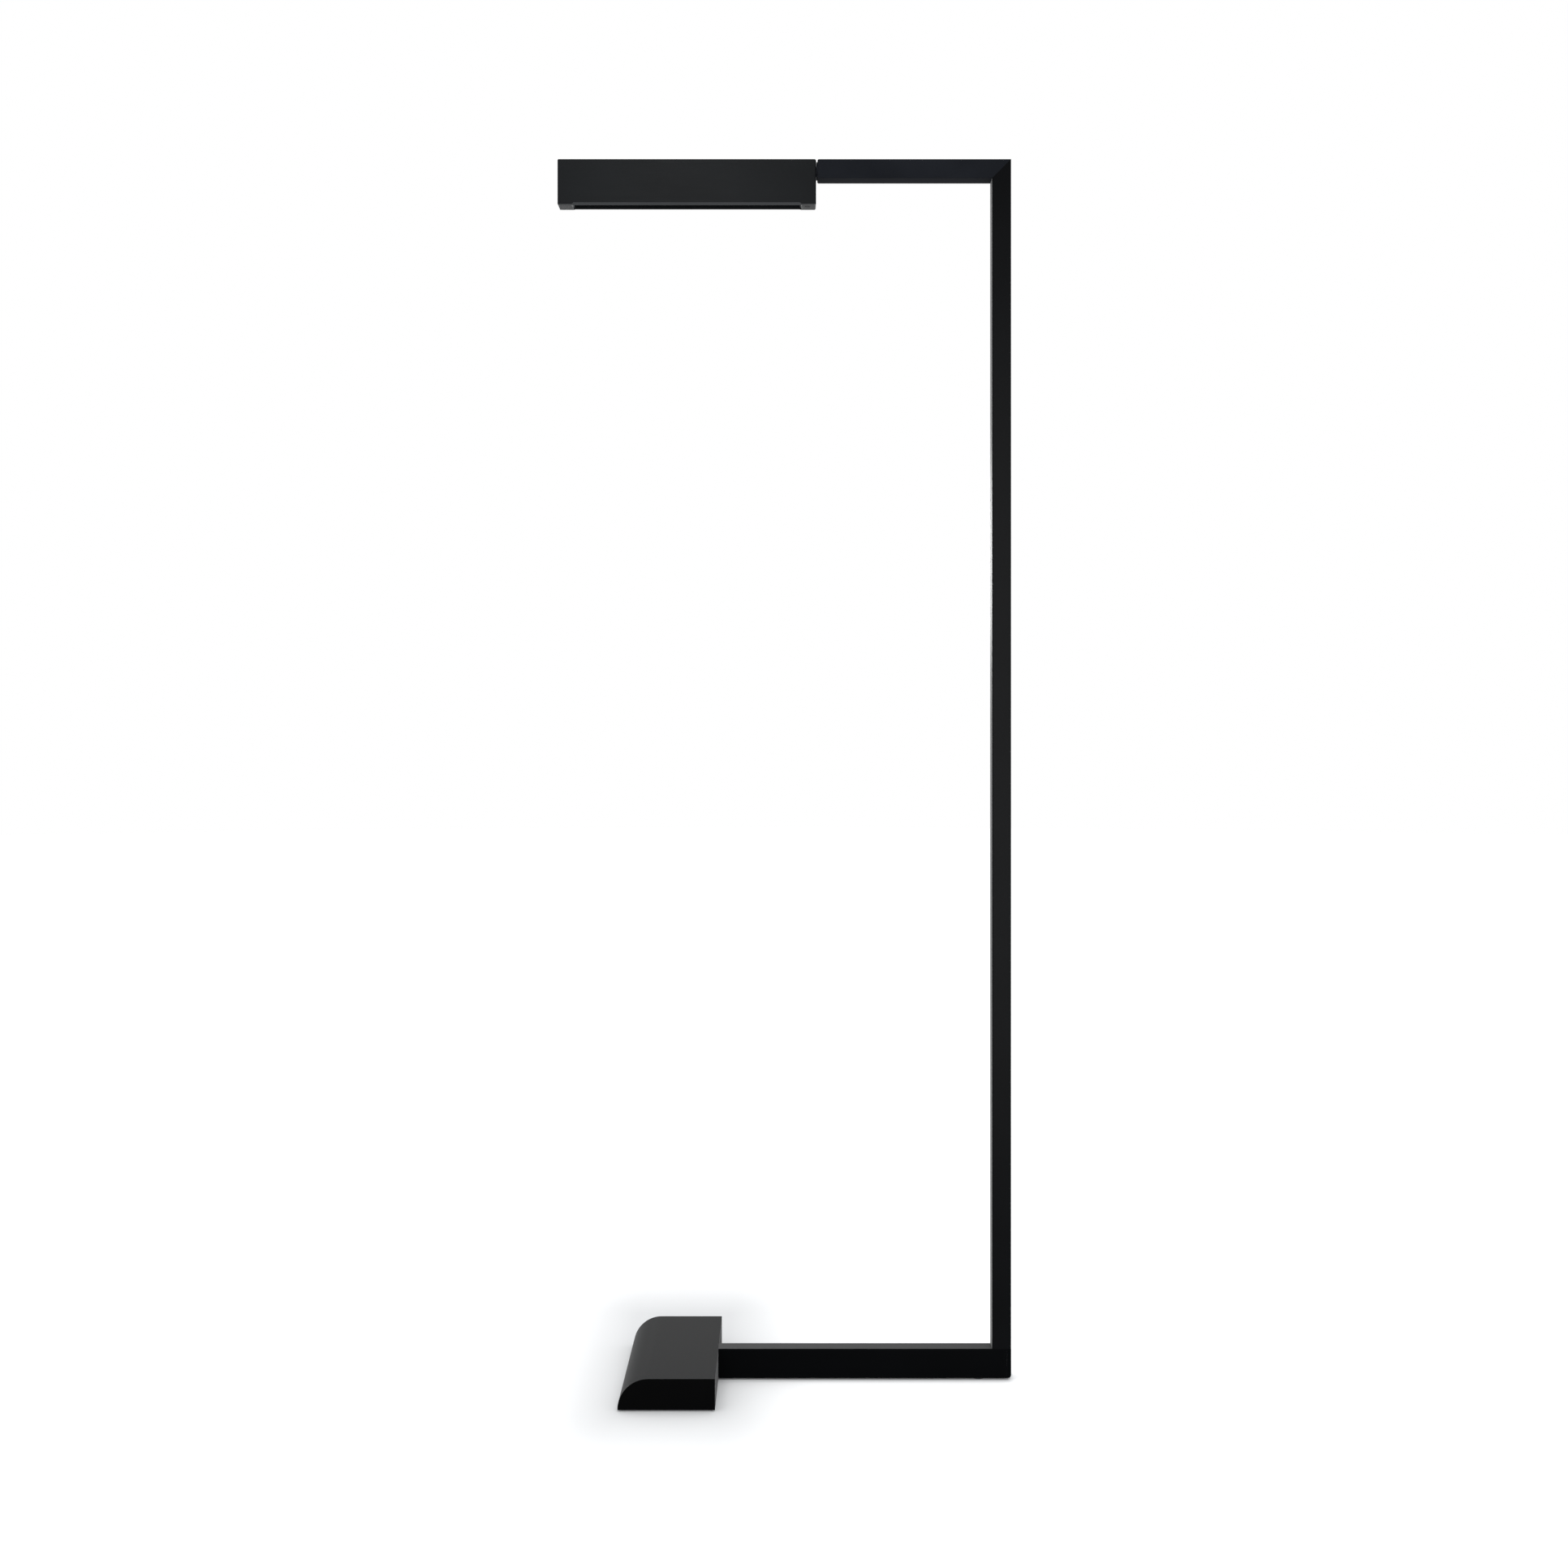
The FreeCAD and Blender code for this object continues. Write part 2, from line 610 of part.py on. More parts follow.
def arm_end_plug():
    """The plug in the arm's end. The round collar on its flange nearly closes the gap to the head."""
    flange = bar(
        (ARM_LEFT, ARM_LEFT + FLANGE), across(HALF), (HEIGHT - TUBE, HEIGHT), RIGHTWARD, TUBE_CORNER
    )
    flange = flange.makeFillet(FLANGE_EASING, edges_at(flange, "x", ARM_LEFT))
    reach = (ARM_Z - PLUG_HALF, ARM_Z + PLUG_HALF)
    collar = ring(COLLAR_RADIUS, COLLAR_BORE, on_axis(COLLAR_LEFT), on_axis(ARM_LEFT))
    rim = ring(COLLAR_RADIUS, COLLAR_BORE, on_axis(ARM_LEFT), on_axis(ARM_LEFT + FLANGE_EASING))
    body = block((ARM_LEFT + FLANGE, PLUG_RIGHT), across(PLUG_HALF), reach)
    solid = flange.fuse([collar, rim, body]).removeSplitter()
    spindle_way = rod(SPINDLE_RADIUS + FIT, on_axis(ARM_LEFT), on_axis(COUNTERBORE_LEFT))
    nut_way = rod(COUNTERBORE_RADIUS, on_axis(COUNTERBORE_LEFT), on_axis(PLUG_RIGHT))
    drop = V(0, 0, STOP_RADIUS)
    pin_way = rod(PIN_RADIUS + FIT, on_axis(COLLAR_LEFT) - drop, on_axis(ARM_LEFT + PIN_SEAT) - drop)
    return PLUG_SCREWS.seat_in(solid.cut(spindle_way).cut(nut_way).cut(pin_way))


def stop_pin():
    """The pin that ends the head's turn, below the axis."""
    drop = V(0, 0, STOP_RADIUS)
    start = on_axis(HEAD_RIGHT - GROOVE_DEPTH + SLACK) - drop
    return rod(PIN_RADIUS, start, on_axis(ARM_LEFT + PIN_SEAT) - drop)


def swivel_spindle():
    """The hollow threaded tube that the head turns on and the lead passes through."""
    return ring(SPINDLE_RADIUS, SPINDLE_BORE, on_axis(SPINDLE_X[0]), on_axis(SPINDLE_X[1]))


def axis_nut(x):
    """A thin hexagon nut on the spindle, whose left face is at x."""
    start = on_axis(x)
    end = on_axis(x + NUT_THICKNESS)
    return hexagon(NUT_FLATS, start, end).cut(rod(SPINDLE_RADIUS + FIT, start, end))


def spindle_lock_nut():
    """The nut that locks the spindle in the arm's plug."""
    return axis_nut(COUNTERBORE_LEFT)


def swivel_bush():
    """The flanged bearing in the head's inner cap. Its flange keeps the gap."""
    left = on_axis(APERTURE[1])
    face = on_axis(HEAD_RIGHT)
    flange = rod(BUSH_FLANGE, face, on_axis(ARM_LEFT - SLACK))
    running = rod(SPINDLE_RADIUS + FIT, left, on_axis(ARM_LEFT))
    return rod(BUSH_RADIUS, left, face).fuse(flange).cut(running)


def friction_washer():
    """The washer that rubs on the inner cap and holds the head where it is put."""
    right = APERTURE[1] - SLACK
    return ring(
        WASHER_RADIUS, SPINDLE_RADIUS + FIT, on_axis(right - WASHER_THICKNESS), on_axis(right)
    )


def spring_washer():
    """The dished washer that presses the friction washer."""
    right = APERTURE[1] - SLACK - WASHER_THICKNESS
    left = right - SPRING_WASHER_HEIGHT
    bore = ARM_Z + SPINDLE_RADIUS + FIT
    rim = ARM_Z + WASHER_RADIUS - 0.4
    section = [
        (left, bore),
        (left + SPRING_WASHER_THICKNESS, bore),
        (right, rim),
        (right - SPRING_WASHER_THICKNESS, rim),
    ]
    return upright_face(section).revolve(on_axis(0), RIGHTWARD, 360)


def spindle_nut():
    """The nut that sets the friction."""
    stack = SLACK + WASHER_THICKNESS + SPRING_WASHER_HEIGHT
    return axis_nut(APERTURE[1] - stack - NUT_THICKNESS)


# --- Head ---------------------------------------------------------------------------------------


def lip_bevel(side):
    """The wedge cut from one lower lip, along the aperture, with slanted ends. Side is -1 or 1."""
    face = side * HALF
    inner = side * (HALF - LIP_BEVEL)
    ends = []
    for x, outwards in zip(APERTURE, (-LIP_BEVEL, LIP_BEVEL)):
        top = V(x, face, HEAD_BOTTOM + LIP_BEVEL)
        corner = V(x + outwards, face, HEAD_BOTTOM)
        root = V(x, inner, HEAD_BOTTOM)
        ends.append(Part.makePolygon([top, corner, root, top]))
    return Part.makeLoft(ends, True, True)


def head_housing():
    """The inverted U that is the head's casing, with rails inside for the sink and the diffuser."""
    reach = (OUTER_PLATE_RIGHT, INNER_PLATE_LEFT)
    outer = bar(reach, across(HALF), (HEAD_BOTTOM, HEIGHT), RIGHTWARD, HEAD_CORNER)
    shell = outer.cut(block(reach, across(CAVITY_HALF), (HEAD_BOTTOM, CAVITY_TOP)))
    rail_levels = [(z, DIFFUSER_RAIL_REACH) for z in DIFFUSER_RAILS]
    rail_levels += [(z, SINK_RAIL_REACH) for z in SINK_RAILS]
    rail_x = (APERTURE[0] + SLACK, APERTURE[1] - SLACK)
    rails = []
    for z, rail_reach in rail_levels:
        band = (z, z + RAIL_THICKNESS)
        rails.append(block(rail_x, (-CAVITY_HALF, -CAVITY_HALF + rail_reach), band))
        rails.append(block(rail_x, (CAVITY_HALF - rail_reach, CAVITY_HALF), band))
    shell = shell.fuse(rails)
    for side in (-1, 1):
        shell = shell.cut(lip_bevel(side))
    return CAP_SCREWS.seat_in(shell)


def end_cap(plate, easing, plug, bevelled_x):
    """An end cap: an eased plate over the housing's end, and a plug whose inner lower edge is bevelled."""
    outer_x = plate[0] if plate[0] == LEFT else plate[1]
    cover = bar(plate, across(HALF), (HEAD_BOTTOM, HEIGHT), RIGHTWARD, HEAD_CORNER)
    cover = cover.makeFillet(easing, edges_at(cover, "x", outer_x))
    filling = block(plug, across(CAP_PLUG_HALF), (HEAD_BOTTOM, CAVITY_TOP - SLACK))
    lower_edge = [e for e in edges_at(filling, "x", bevelled_x) if e.BoundBox.ZMax < HEAD_BOTTOM + 0.01]
    return cover.fuse(filling.makeChamfer(BLOCK_BEVEL, lower_edge))


def outer_end_cap():
    """The cap on the head's free end."""
    plug = (OUTER_PLATE_RIGHT, APERTURE[0])
    cap = end_cap((LEFT, OUTER_PLATE_RIGHT), OUTER_PLATE_EASING, plug, APERTURE[0])
    return CAP_SCREWS.seat_in(cap)


def stop_groove():
    """The half ring in the inner cap's face that the stop pin runs in, with rounded ends."""
    outer = STOP_RADIUS + GROOVE_HALF
    inner = STOP_RADIUS - GROOVE_HALF
    arcs = [
        ((-outer, 0), (0, -outer), (outer, 0)),
        ((outer, 0), (STOP_RADIUS, GROOVE_HALF), (inner, 0)),
        ((inner, 0), (0, -inner), (-inner, 0)),
        ((-inner, 0), (-STOP_RADIUS, GROOVE_HALF), (-outer, 0)),
    ]
    floor = on_axis(HEAD_RIGHT - GROOVE_DEPTH)
    edges = []
    for arc in arcs:
        points = [floor + V(0, y, z) for y, z in arc]
        edges.append(Part.Arc(*points).toShape())
    return Part.Face(Part.Wire(edges)).extrude(RIGHTWARD * GROOVE_DEPTH)


def inner_end_cap():
    """The cap beside the arm. It holds the swivel bush, the stop groove and the dimmer button."""
    plug = (APERTURE[1], INNER_PLATE_LEFT)
    cap = end_cap((INNER_PLATE_LEFT, HEAD_RIGHT), INNER_PLATE_EASING, plug, APERTURE[1])
    board_top = SWITCH_BOARD_FLOOR + SWITCH_BOARD_THICKNESS + SLACK
    ways = [
        rod(BUSH_RADIUS + FIT, on_axis(APERTURE[1]), on_axis(HEAD_RIGHT)),
        stop_groove(),
        rod(BUTTON_HOLE, V(BUTTON_X, 0, HEAD_BOTTOM), V(BUTTON_X, 0, POCKET_FLOOR)),
        block(POCKET_X, across(POCKET_HALF), (POCKET_FLOOR, SWITCH_BOARD_FLOOR)),
        block(POCKET_X, across(SWITCH_BOARD_HALF + SLACK), (SWITCH_BOARD_FLOOR, board_top)),
        block(POCKET_X, across(SOLDER_RELIEF_HALF), (board_top, board_top + SOLDER_RELIEF_HEIGHT)),
    ]
    for way in ways:
        cap = cap.cut(way)
    return CAP_SCREWS.seat_in(cap)


def heat_sink():
    """The aluminium bar that the LED board is screwed to, with fins along its top."""
    solid = block(SINK_X, across(CAVITY_HALF - 2 * SLACK), (SINK_FLOOR, SINK_TOP))
    for y in FINS_Y:
        half = FIN_THICKNESS / 2
        solid = solid.fuse(block(SINK_X, (y - half, y + half), (SINK_TOP, FIN_TOP)))
    solid = solid.removeSplitter().cut(
        block(WIRE_SLOT_X, across(WIRE_SLOT_HALF), (SINK_FLOOR, SINK_TOP))
    )
    for x in SPACERS_X:
        stud_way = rod(STUD_RADIUS + FIT, V(x, 0, SINK_TOP - STUD_LENGTH), V(x, 0, SINK_TOP))
        solid = solid.cut(stud_way)
    return BOARD_SCREWS.seat_in(solid)


def led_board():
    """The white strip board under the heat sink."""
    return BOARD_SCREWS.seat_in(block(BOARD_X, across(BOARD_HALF), (BOARD_FLOOR, SINK_FLOOR)))


def led_chips():
    """The row of LEDs on the board's underside."""
    length, width, height = CHIP
    middle = (BOARD_X[0] + BOARD_X[1]) / 2
    first = middle - CHIP_PITCH * (CHIP_COUNT - 1) / 2
    chips = []
    for number in range(CHIP_COUNT):
        x = first + number * CHIP_PITCH
        reach = (x - length / 2, x + length / 2)
        chips.append(block(reach, across(width / 2), (BOARD_FLOOR - height, BOARD_FLOOR)))
    return grouped(chips)


def diffuser():
    """The opal channel between the lower rails, open at its top."""
    reach = (APERTURE[0] + 3 * SLACK, APERTURE[1] - 3 * SLACK)
    half = CAVITY_HALF - 2 * SLACK
    solid = block(reach, across(half), (DIFFUSER_FLOOR, DIFFUSER_TOP))
    hollow = block(reach, across(half - DIFFUSER_LEG), (DIFFUSER_FLOOR + DIFFUSER_PLATE, DIFFUSER_TOP))
    return solid.cut(hollow)


def driver_board():
    """The circuit board of the LED driver."""
    return DRIVER_SCREWS.seat_in(block(DRIVER_X, across(DRIVER_HALF), (DRIVER_FLOOR, DRIVER_TOP)))


def driver_components():
    """The inlet terminal, choke, capacitors and chips on the driver board."""
    entry = rod(LEAD_RADIUS + FIT, on_axis(DRIVER_INLET[1] - 3), on_axis(DRIVER_INLET[1]))
    inlet = block(DRIVER_INLET, across(4.5), (DRIVER_TOP, ARM_Z + 4)).cut(entry)
    choke = ring(5.5, 1.5, V(-46, 0, DRIVER_TOP), V(-46, 0, DRIVER_TOP + 8))
    smoothing = rod(4.8, V(-78, 0, DRIVER_TOP + 4.8), V(-60, 0, DRIVER_TOP + 4.8))
    outlet = block((-149, -143), across(4), (DRIVER_TOP, DRIVER_TOP + 6))
    chips = [
        block((x, x + length), (y, y + width), (DRIVER_TOP, DRIVER_TOP + height))
        for x, y, length, width, height in (
            (-98, -3, 6, 6, 1.6),
            (-112, -3.2, 6.4, 6.4, 2.3),
            (-88, 2, 3.2, 1.6, 1.2),
            (-88, -3.6, 3.2, 1.6, 1.2),
            (-120, 1.5, 3.2, 2.5, 1.4),
            (-130, -4, 4.5, 3.2, 2.0),
        )
    ]
    return grouped([inlet, choke, smoothing, outlet] + chips)


def driver_spacers():
    """The hexagon spacers that hold the driver board above the fins."""
    spacers = []
    for x in SPACERS_X:
        pillar = hexagon(SPACER_FLATS, V(x, 0, SINK_TOP), V(x, 0, DRIVER_FLOOR))
        stud = rod(STUD_RADIUS, V(x, 0, SINK_TOP - STUD_LENGTH), V(x, 0, SINK_TOP))
        spacers.append(pillar.fuse(stud))
    return DRIVER_SCREWS.seat_in(grouped(spacers))


def head_lead():
    """The lead's last stretch, from the spindle's mouth to the driver. It turns with the head."""
    return rod(LEAD_RADIUS, on_axis(DRIVER_INLET[1] - 3), on_axis(SPINDLE_X[0] - SLACK))


def led_wires():
    """Two wires from the driver's outlet down through the heat sink's slot to the LED board."""
    level = DRIVER_TOP + 3
    foot_x = (WIRE_SLOT_X[0] + WIRE_SLOT_X[1]) / 2
    wires = []
    for y in (-1.4, 1.4):
        points = [V(-149, y, level), V(foot_x, y, level), V(foot_x, y, SINK_FLOOR)]
        wires.append(round_wire(WIRE_RADIUS, points, [6.0]))
    return grouped(wires)


# --- Dimmer button ------------------------------------------------------------------------------


def dimmer_button():
    """The push button: a cap in the head's underside, a flange that keeps it in, and a stem."""
    face = V(BUTTON_X, 0, HEAD_BOTTOM - BUTTON_PROUD)
    flange_low = V(BUTTON_X, 0, POCKET_FLOOR + FIT)
    flange_high = flange_low + UP * BUTTON_FLANGE_HEIGHT
    stem_top = V(BUTTON_X, 0, plunger_low() - BUTTON_TRAVEL - SLACK)
    cap = rod(BUTTON_RADIUS, face, flange_low)
    cap = cap.makeFillet(0.4, edges_at(cap, "z", face.z))
    flange = rod(BUTTON_FLANGE, flange_low, flange_high)
    return cap.fuse([flange, rod(STEM_RADIUS, flange_high, stem_top)]).removeSplitter()


def plunger_low():
    """The height of the switch plunger's lower end."""
    return SWITCH_BOARD_FLOOR - SWITCH_HEIGHT - PLUNGER_HEIGHT


def tact_switch():
    """The switch under its board, with its plunger pointing down at the button's stem."""
    half = SWITCH_BODY / 2
    body = block(
        (BUTTON_X - half, BUTTON_X + half),
        across(half),
        (SWITCH_BOARD_FLOOR - SWITCH_HEIGHT, SWITCH_BOARD_FLOOR),
    )
    low = V(BUTTON_X, 0, plunger_low())
    return body.fuse(rod(PLUNGER_RADIUS, low, low + UP * (PLUNGER_HEIGHT + 1)))


def switch_board():
    """The small board that slides into the inner cap's groove."""
    return block(
        (POCKET_X[0] + SLACK, POCKET_X[1] - SLACK),
        across(SWITCH_BOARD_HALF),
        (SWITCH_BOARD_FLOOR + FIT, SWITCH_BOARD_FLOOR + SWITCH_BOARD_THICKNESS),
    )


def button_spring():
    """The coil spring between the button's flange and the switch's body, as a chain of short arcs."""
    low = POCKET_FLOOR + FIT + BUTTON_FLANGE_HEIGHT + SPRING_WIRE
    height = SWITCH_BOARD_FLOOR - SWITCH_HEIGHT - SPRING_WIRE - low
    count = SPRING_TURNS * ARCS_PER_TURN
    step = 2 * math.pi / ARCS_PER_TURN
    corner_radius = SPRING_RADIUS / math.cos(step / 2)
    points = []
    for number in range(count + 1):
        around = V(math.cos(number * step), math.sin(number * step), 0) * corner_radius
        points.append(V(BUTTON_X, 0, low + height * number / count) + around)
    return round_wire(SPRING_WIRE, points, [0.95 * SPRING_RADIUS] * (count - 1))


def switch_wires():
    """Two wires from the switch board up beside the spindle to the driver board."""
    start_z = SWITCH_BOARD_FLOOR + SWITCH_BOARD_THICKNESS + WIRE_RADIUS
    end_z = DRIVER_TOP + WIRE_RADIUS
    rise_x = 13.0
    wires = []
    for side in (-1, 1):
        near = side * 2.2
        wide = side * 5.7
        points = [
            V(19, near, start_z),
            V(rise_x, near, start_z),
            V(rise_x, near, start_z + 4),
            V(rise_x, wide, start_z + 10),
            V(rise_x, wide, end_z),
            V(DRIVER_INLET[1], wide, end_z),
        ]
        wires.append(round_wire(WIRE_RADIUS, points, [2.0, 2.0, 2.0, 2.0]))
    return grouped(wires)


NODES = {
    "base_block": base_block,
    "base_pad": base_pad,
    "base_bolts": BASE_BOLTS.node,
    "bar_tenon": bar_tenon,
    "tenon_bolts": TENON_BOLTS.node,
    "foot_bar": foot_bar,
    "foot_bar_end_cap": foot_bar_end_cap,
    "end_cap_screw": END_CAP_SCREW.node,
    "foot_glide": foot_glide,
    "cable_gland": cable_gland,
    "gland_nut": gland_nut,
    "terminal_block": terminal_block,
    "terminal_screws": terminal_screws,
    "supply_lead": supply_lead,
    "post_root_block": post_root_block,
    "post_bolts": POST_BOLTS.node,
    "post_set_screws": POST_SET_SCREWS.node,
    "post_tube": post_tube,
    "arm_tube": arm_tube,
    "mitre_corner_block": mitre_corner_block,
    "corner_screws": CORNER_SCREWS.node,
    "arm_end_plug": arm_end_plug,
    "plug_screws": PLUG_SCREWS.node,
    "stop_pin": stop_pin,
    "swivel_spindle": swivel_spindle,
    "spindle_lock_nut": spindle_lock_nut,
    "swivel_bush": swivel_bush,
    "friction_washer": friction_washer,
    "spring_washer": spring_washer,
    "spindle_nut": spindle_nut,
    "head_housing": head_housing,
    "outer_end_cap": outer_end_cap,
    "inner_end_cap": inner_end_cap,
    "cap_screws": CAP_SCREWS.node,
    "heat_sink": heat_sink,
    "led_board": led_board,
    "led_chips": led_chips,
    "board_screws": BOARD_SCREWS.node,
    "diffuser": diffuser,
    "driver_board": driver_board,
    "driver_components": driver_components,
    "driver_spacers": driver_spacers,
    "driver_screws": DRIVER_SCREWS.node,
    "head_lead": head_lead,
    "led_wires": led_wires,
    "dimmer_button": dimmer_button,
    "button_spring": button_spring,
    "tact_switch": tact_switch,
    "switch_board": switch_board,
    "switch_wires": switch_wires,
}

os.makedirs("parts", exist_ok=True)
for name, make in NODES.items():
    shape = make()
    assert shape.isValid() and shape.Solids, name
    shape.exportStep("parts/" + name + ".step")
    print(name, len(shape.Solids), "solid(s),", round(shape.Volume, 1), "mm3")
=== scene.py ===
"""Free-standing C-frame floor light with a turning LED head, finished for looks.

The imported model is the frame. The pieces that show are modelled here with eased edges and their
fine parts, and every other part keeps its own shape and gets a finish. All places are in metres:
X runs along the foot bar, the arm and the head, Y from front to back, and Z up from the floor.
"""

import json
import math

import bmesh
import bpy
from mathutils import Matrix, Vector, noise


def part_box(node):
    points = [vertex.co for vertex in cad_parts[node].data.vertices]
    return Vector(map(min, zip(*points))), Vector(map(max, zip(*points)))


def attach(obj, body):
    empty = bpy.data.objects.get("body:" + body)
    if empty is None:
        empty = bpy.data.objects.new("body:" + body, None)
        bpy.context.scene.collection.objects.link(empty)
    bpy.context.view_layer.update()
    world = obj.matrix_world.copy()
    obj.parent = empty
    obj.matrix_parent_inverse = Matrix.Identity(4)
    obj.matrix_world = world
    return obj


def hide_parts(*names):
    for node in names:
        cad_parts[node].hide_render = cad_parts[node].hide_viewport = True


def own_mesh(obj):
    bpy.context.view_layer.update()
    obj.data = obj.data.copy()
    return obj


bl_info = {
    "name": "C-frame floor light",
    "version": (1, 0, 0),
    "blender": (4, 5, 0),
    "location": "View3D > Sidebar > Floor light",
    "description": "Builds the pieces, finishes and stage of a floor light round its packed frame",
    "category": "Object",
}

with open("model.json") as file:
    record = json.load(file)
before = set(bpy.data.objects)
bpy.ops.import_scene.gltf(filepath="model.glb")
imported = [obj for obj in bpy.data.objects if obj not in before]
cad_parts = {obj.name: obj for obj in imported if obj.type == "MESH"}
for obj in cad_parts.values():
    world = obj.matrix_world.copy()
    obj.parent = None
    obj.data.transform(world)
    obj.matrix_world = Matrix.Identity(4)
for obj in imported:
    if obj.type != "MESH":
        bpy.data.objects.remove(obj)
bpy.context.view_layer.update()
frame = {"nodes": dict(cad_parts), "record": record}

MM = 0.001
SMOOTH_ANGLE = math.radians(28)  # faces that turn by less are shaded as one
CREASE_ANGLE = math.radians(35)  # edges that turn by more are eased
FLAT_ANGLE = math.radians(0.4)  # faces that turn by less become one face
MERGE_DISTANCE = 0.002 * MM
POLE_MERGE_DISTANCE = 0.001 * MM


# --- Settings -----------------------------------------------------------------------------------


def colour_setting(name, description, default):
    """A colour that the user can change."""
    return bpy.props.FloatVectorProperty(
        name=name,
        description=description,
        subtype="COLOR",
        size=3,
        min=0,
        max=1,
        default=default,
    )


def length_setting(name, description, default):
    """A length that the user can change, in metres."""
    return bpy.props.FloatProperty(
        name=name,
        description=description,
        subtype="DISTANCE",
        unit="LENGTH",
        min=0,
        default=default,
    )


def power_setting(name, description, default):
    """A lamp's power that the user can change, in watts."""
    return bpy.props.FloatProperty(
        name=name, description=description, unit="POWER", min=0, default=default
    )


class FloorLightColours(bpy.types.PropertyGroup):
    """The colours of the finishes."""

    # The post, the foot bar and the arm wear one powder coat: the arm's copy is painted lighter and
    # the bar's darker, as painted light and painted shade for how the lamps fall on each
    tube: colour_setting("Post coat", "Powder coat of the post", (0.0022, 0.0024, 0.0028))
    bar: colour_setting("Bar coat", "Powder coat of the foot bar", (0.0008, 0.0010, 0.0013))
    arm: colour_setting("Arm coat", "Powder coat of the arm", (0.0095, 0.0105, 0.0130))
    head: colour_setting("Head", "Anodised aluminium of the head", (0.0062, 0.0070, 0.0078))
    # The facets' colour is a lighter copy of the head's, a painted highlight on the faces that
    # slope down round the opening
    facets: colour_setting("Facets", "Milled facets round the opening", (0.020, 0.022, 0.024))
    # The cavity's colour is a darker copy of the head's, partly its matt black inside and partly
    # painted shade in the recess
    cavity: colour_setting("Cavity", "Matt black inside of the head", (0.0016, 0.0016, 0.0017))
    base: colour_setting("Base coat", "Textured coat of the base block", (0.0008, 0.0008, 0.0009))
    felt: colour_setting("Felt", "Felt sheet under the base block", (0.10, 0.10, 0.103))
    nylon: colour_setting("Nylon", "Moulded black nylon", (0.006, 0.006, 0.0065))
    opal: colour_setting("Opal", "Opal acrylic of the diffuser", (0.80, 0.80, 0.78))


class FloorLightSizes(bpy.types.PropertyGroup):
    """The sizes of the fine parts."""

    tube_easing: length_setting("Tube easing", "Width of the eased edges on the tubes", 0.2 * MM)
    head_easing: length_setting("Head easing", "Width of the eased edges on the head", 0.15 * MM)
    base_easing: length_setting("Base easing", "Width of the base block's eased edges", 0.25 * MM)
    pad_corner: length_setting("Pad corner", "Radius of the felt pad's corners", 4 * MM)
    pad_softness: length_setting("Pad softness", "Width of the felt pad's rounded rims", 0.45 * MM)
    pad_unevenness: length_setting("Pad unevenness", "How far the felt's edge wanders", 0.35 * MM)


class FloorLightStudio(bpy.types.PropertyGroup):
    """The camera and the lamps."""

    lens: bpy.props.FloatProperty(
        name="Lens", description="Focal length of the camera", unit="CAMERA", default=41.7
    )
    camera_height: length_setting("Camera height", "Camera's height above the floor", 0.66065)
    camera_distance: length_setting("Camera distance", "Camera to the light's middle", 1.923)
    top_power: power_setting("Top lamp", "Power of the lamp overhead", 30)
    front_power: power_setting("Front lamp", "Power of the lamp in front", 58)
    back_power: power_setting("Back lamp", "Power of the sheen lamp behind", 30)
    post_power: power_setting("Post lamp", "Power of the sheen lamp for the post", 38)
    head_power: power_setting("Head lamp", "Power of the sheen lamp for the head", 6)
    floor_radius: length_setting("Floor radius", "Radius of the round floor", 14.0)


# --- Finishes -----------------------------------------------------------------------------------


def add_node(tree, kind, inputs=None, **settings):
    """A node with its settings and inputs: a value, or another node's output to link."""
    node = tree.nodes.new(kind)
    for setting, value in settings.items():
        setattr(node, setting, value)
    for socket, value in (inputs or {}).items():
        if isinstance(value, bpy.types.NodeSocket):
            tree.links.new(value, node.inputs[socket])
        else:
            node.inputs[socket].default_value = value
    return node


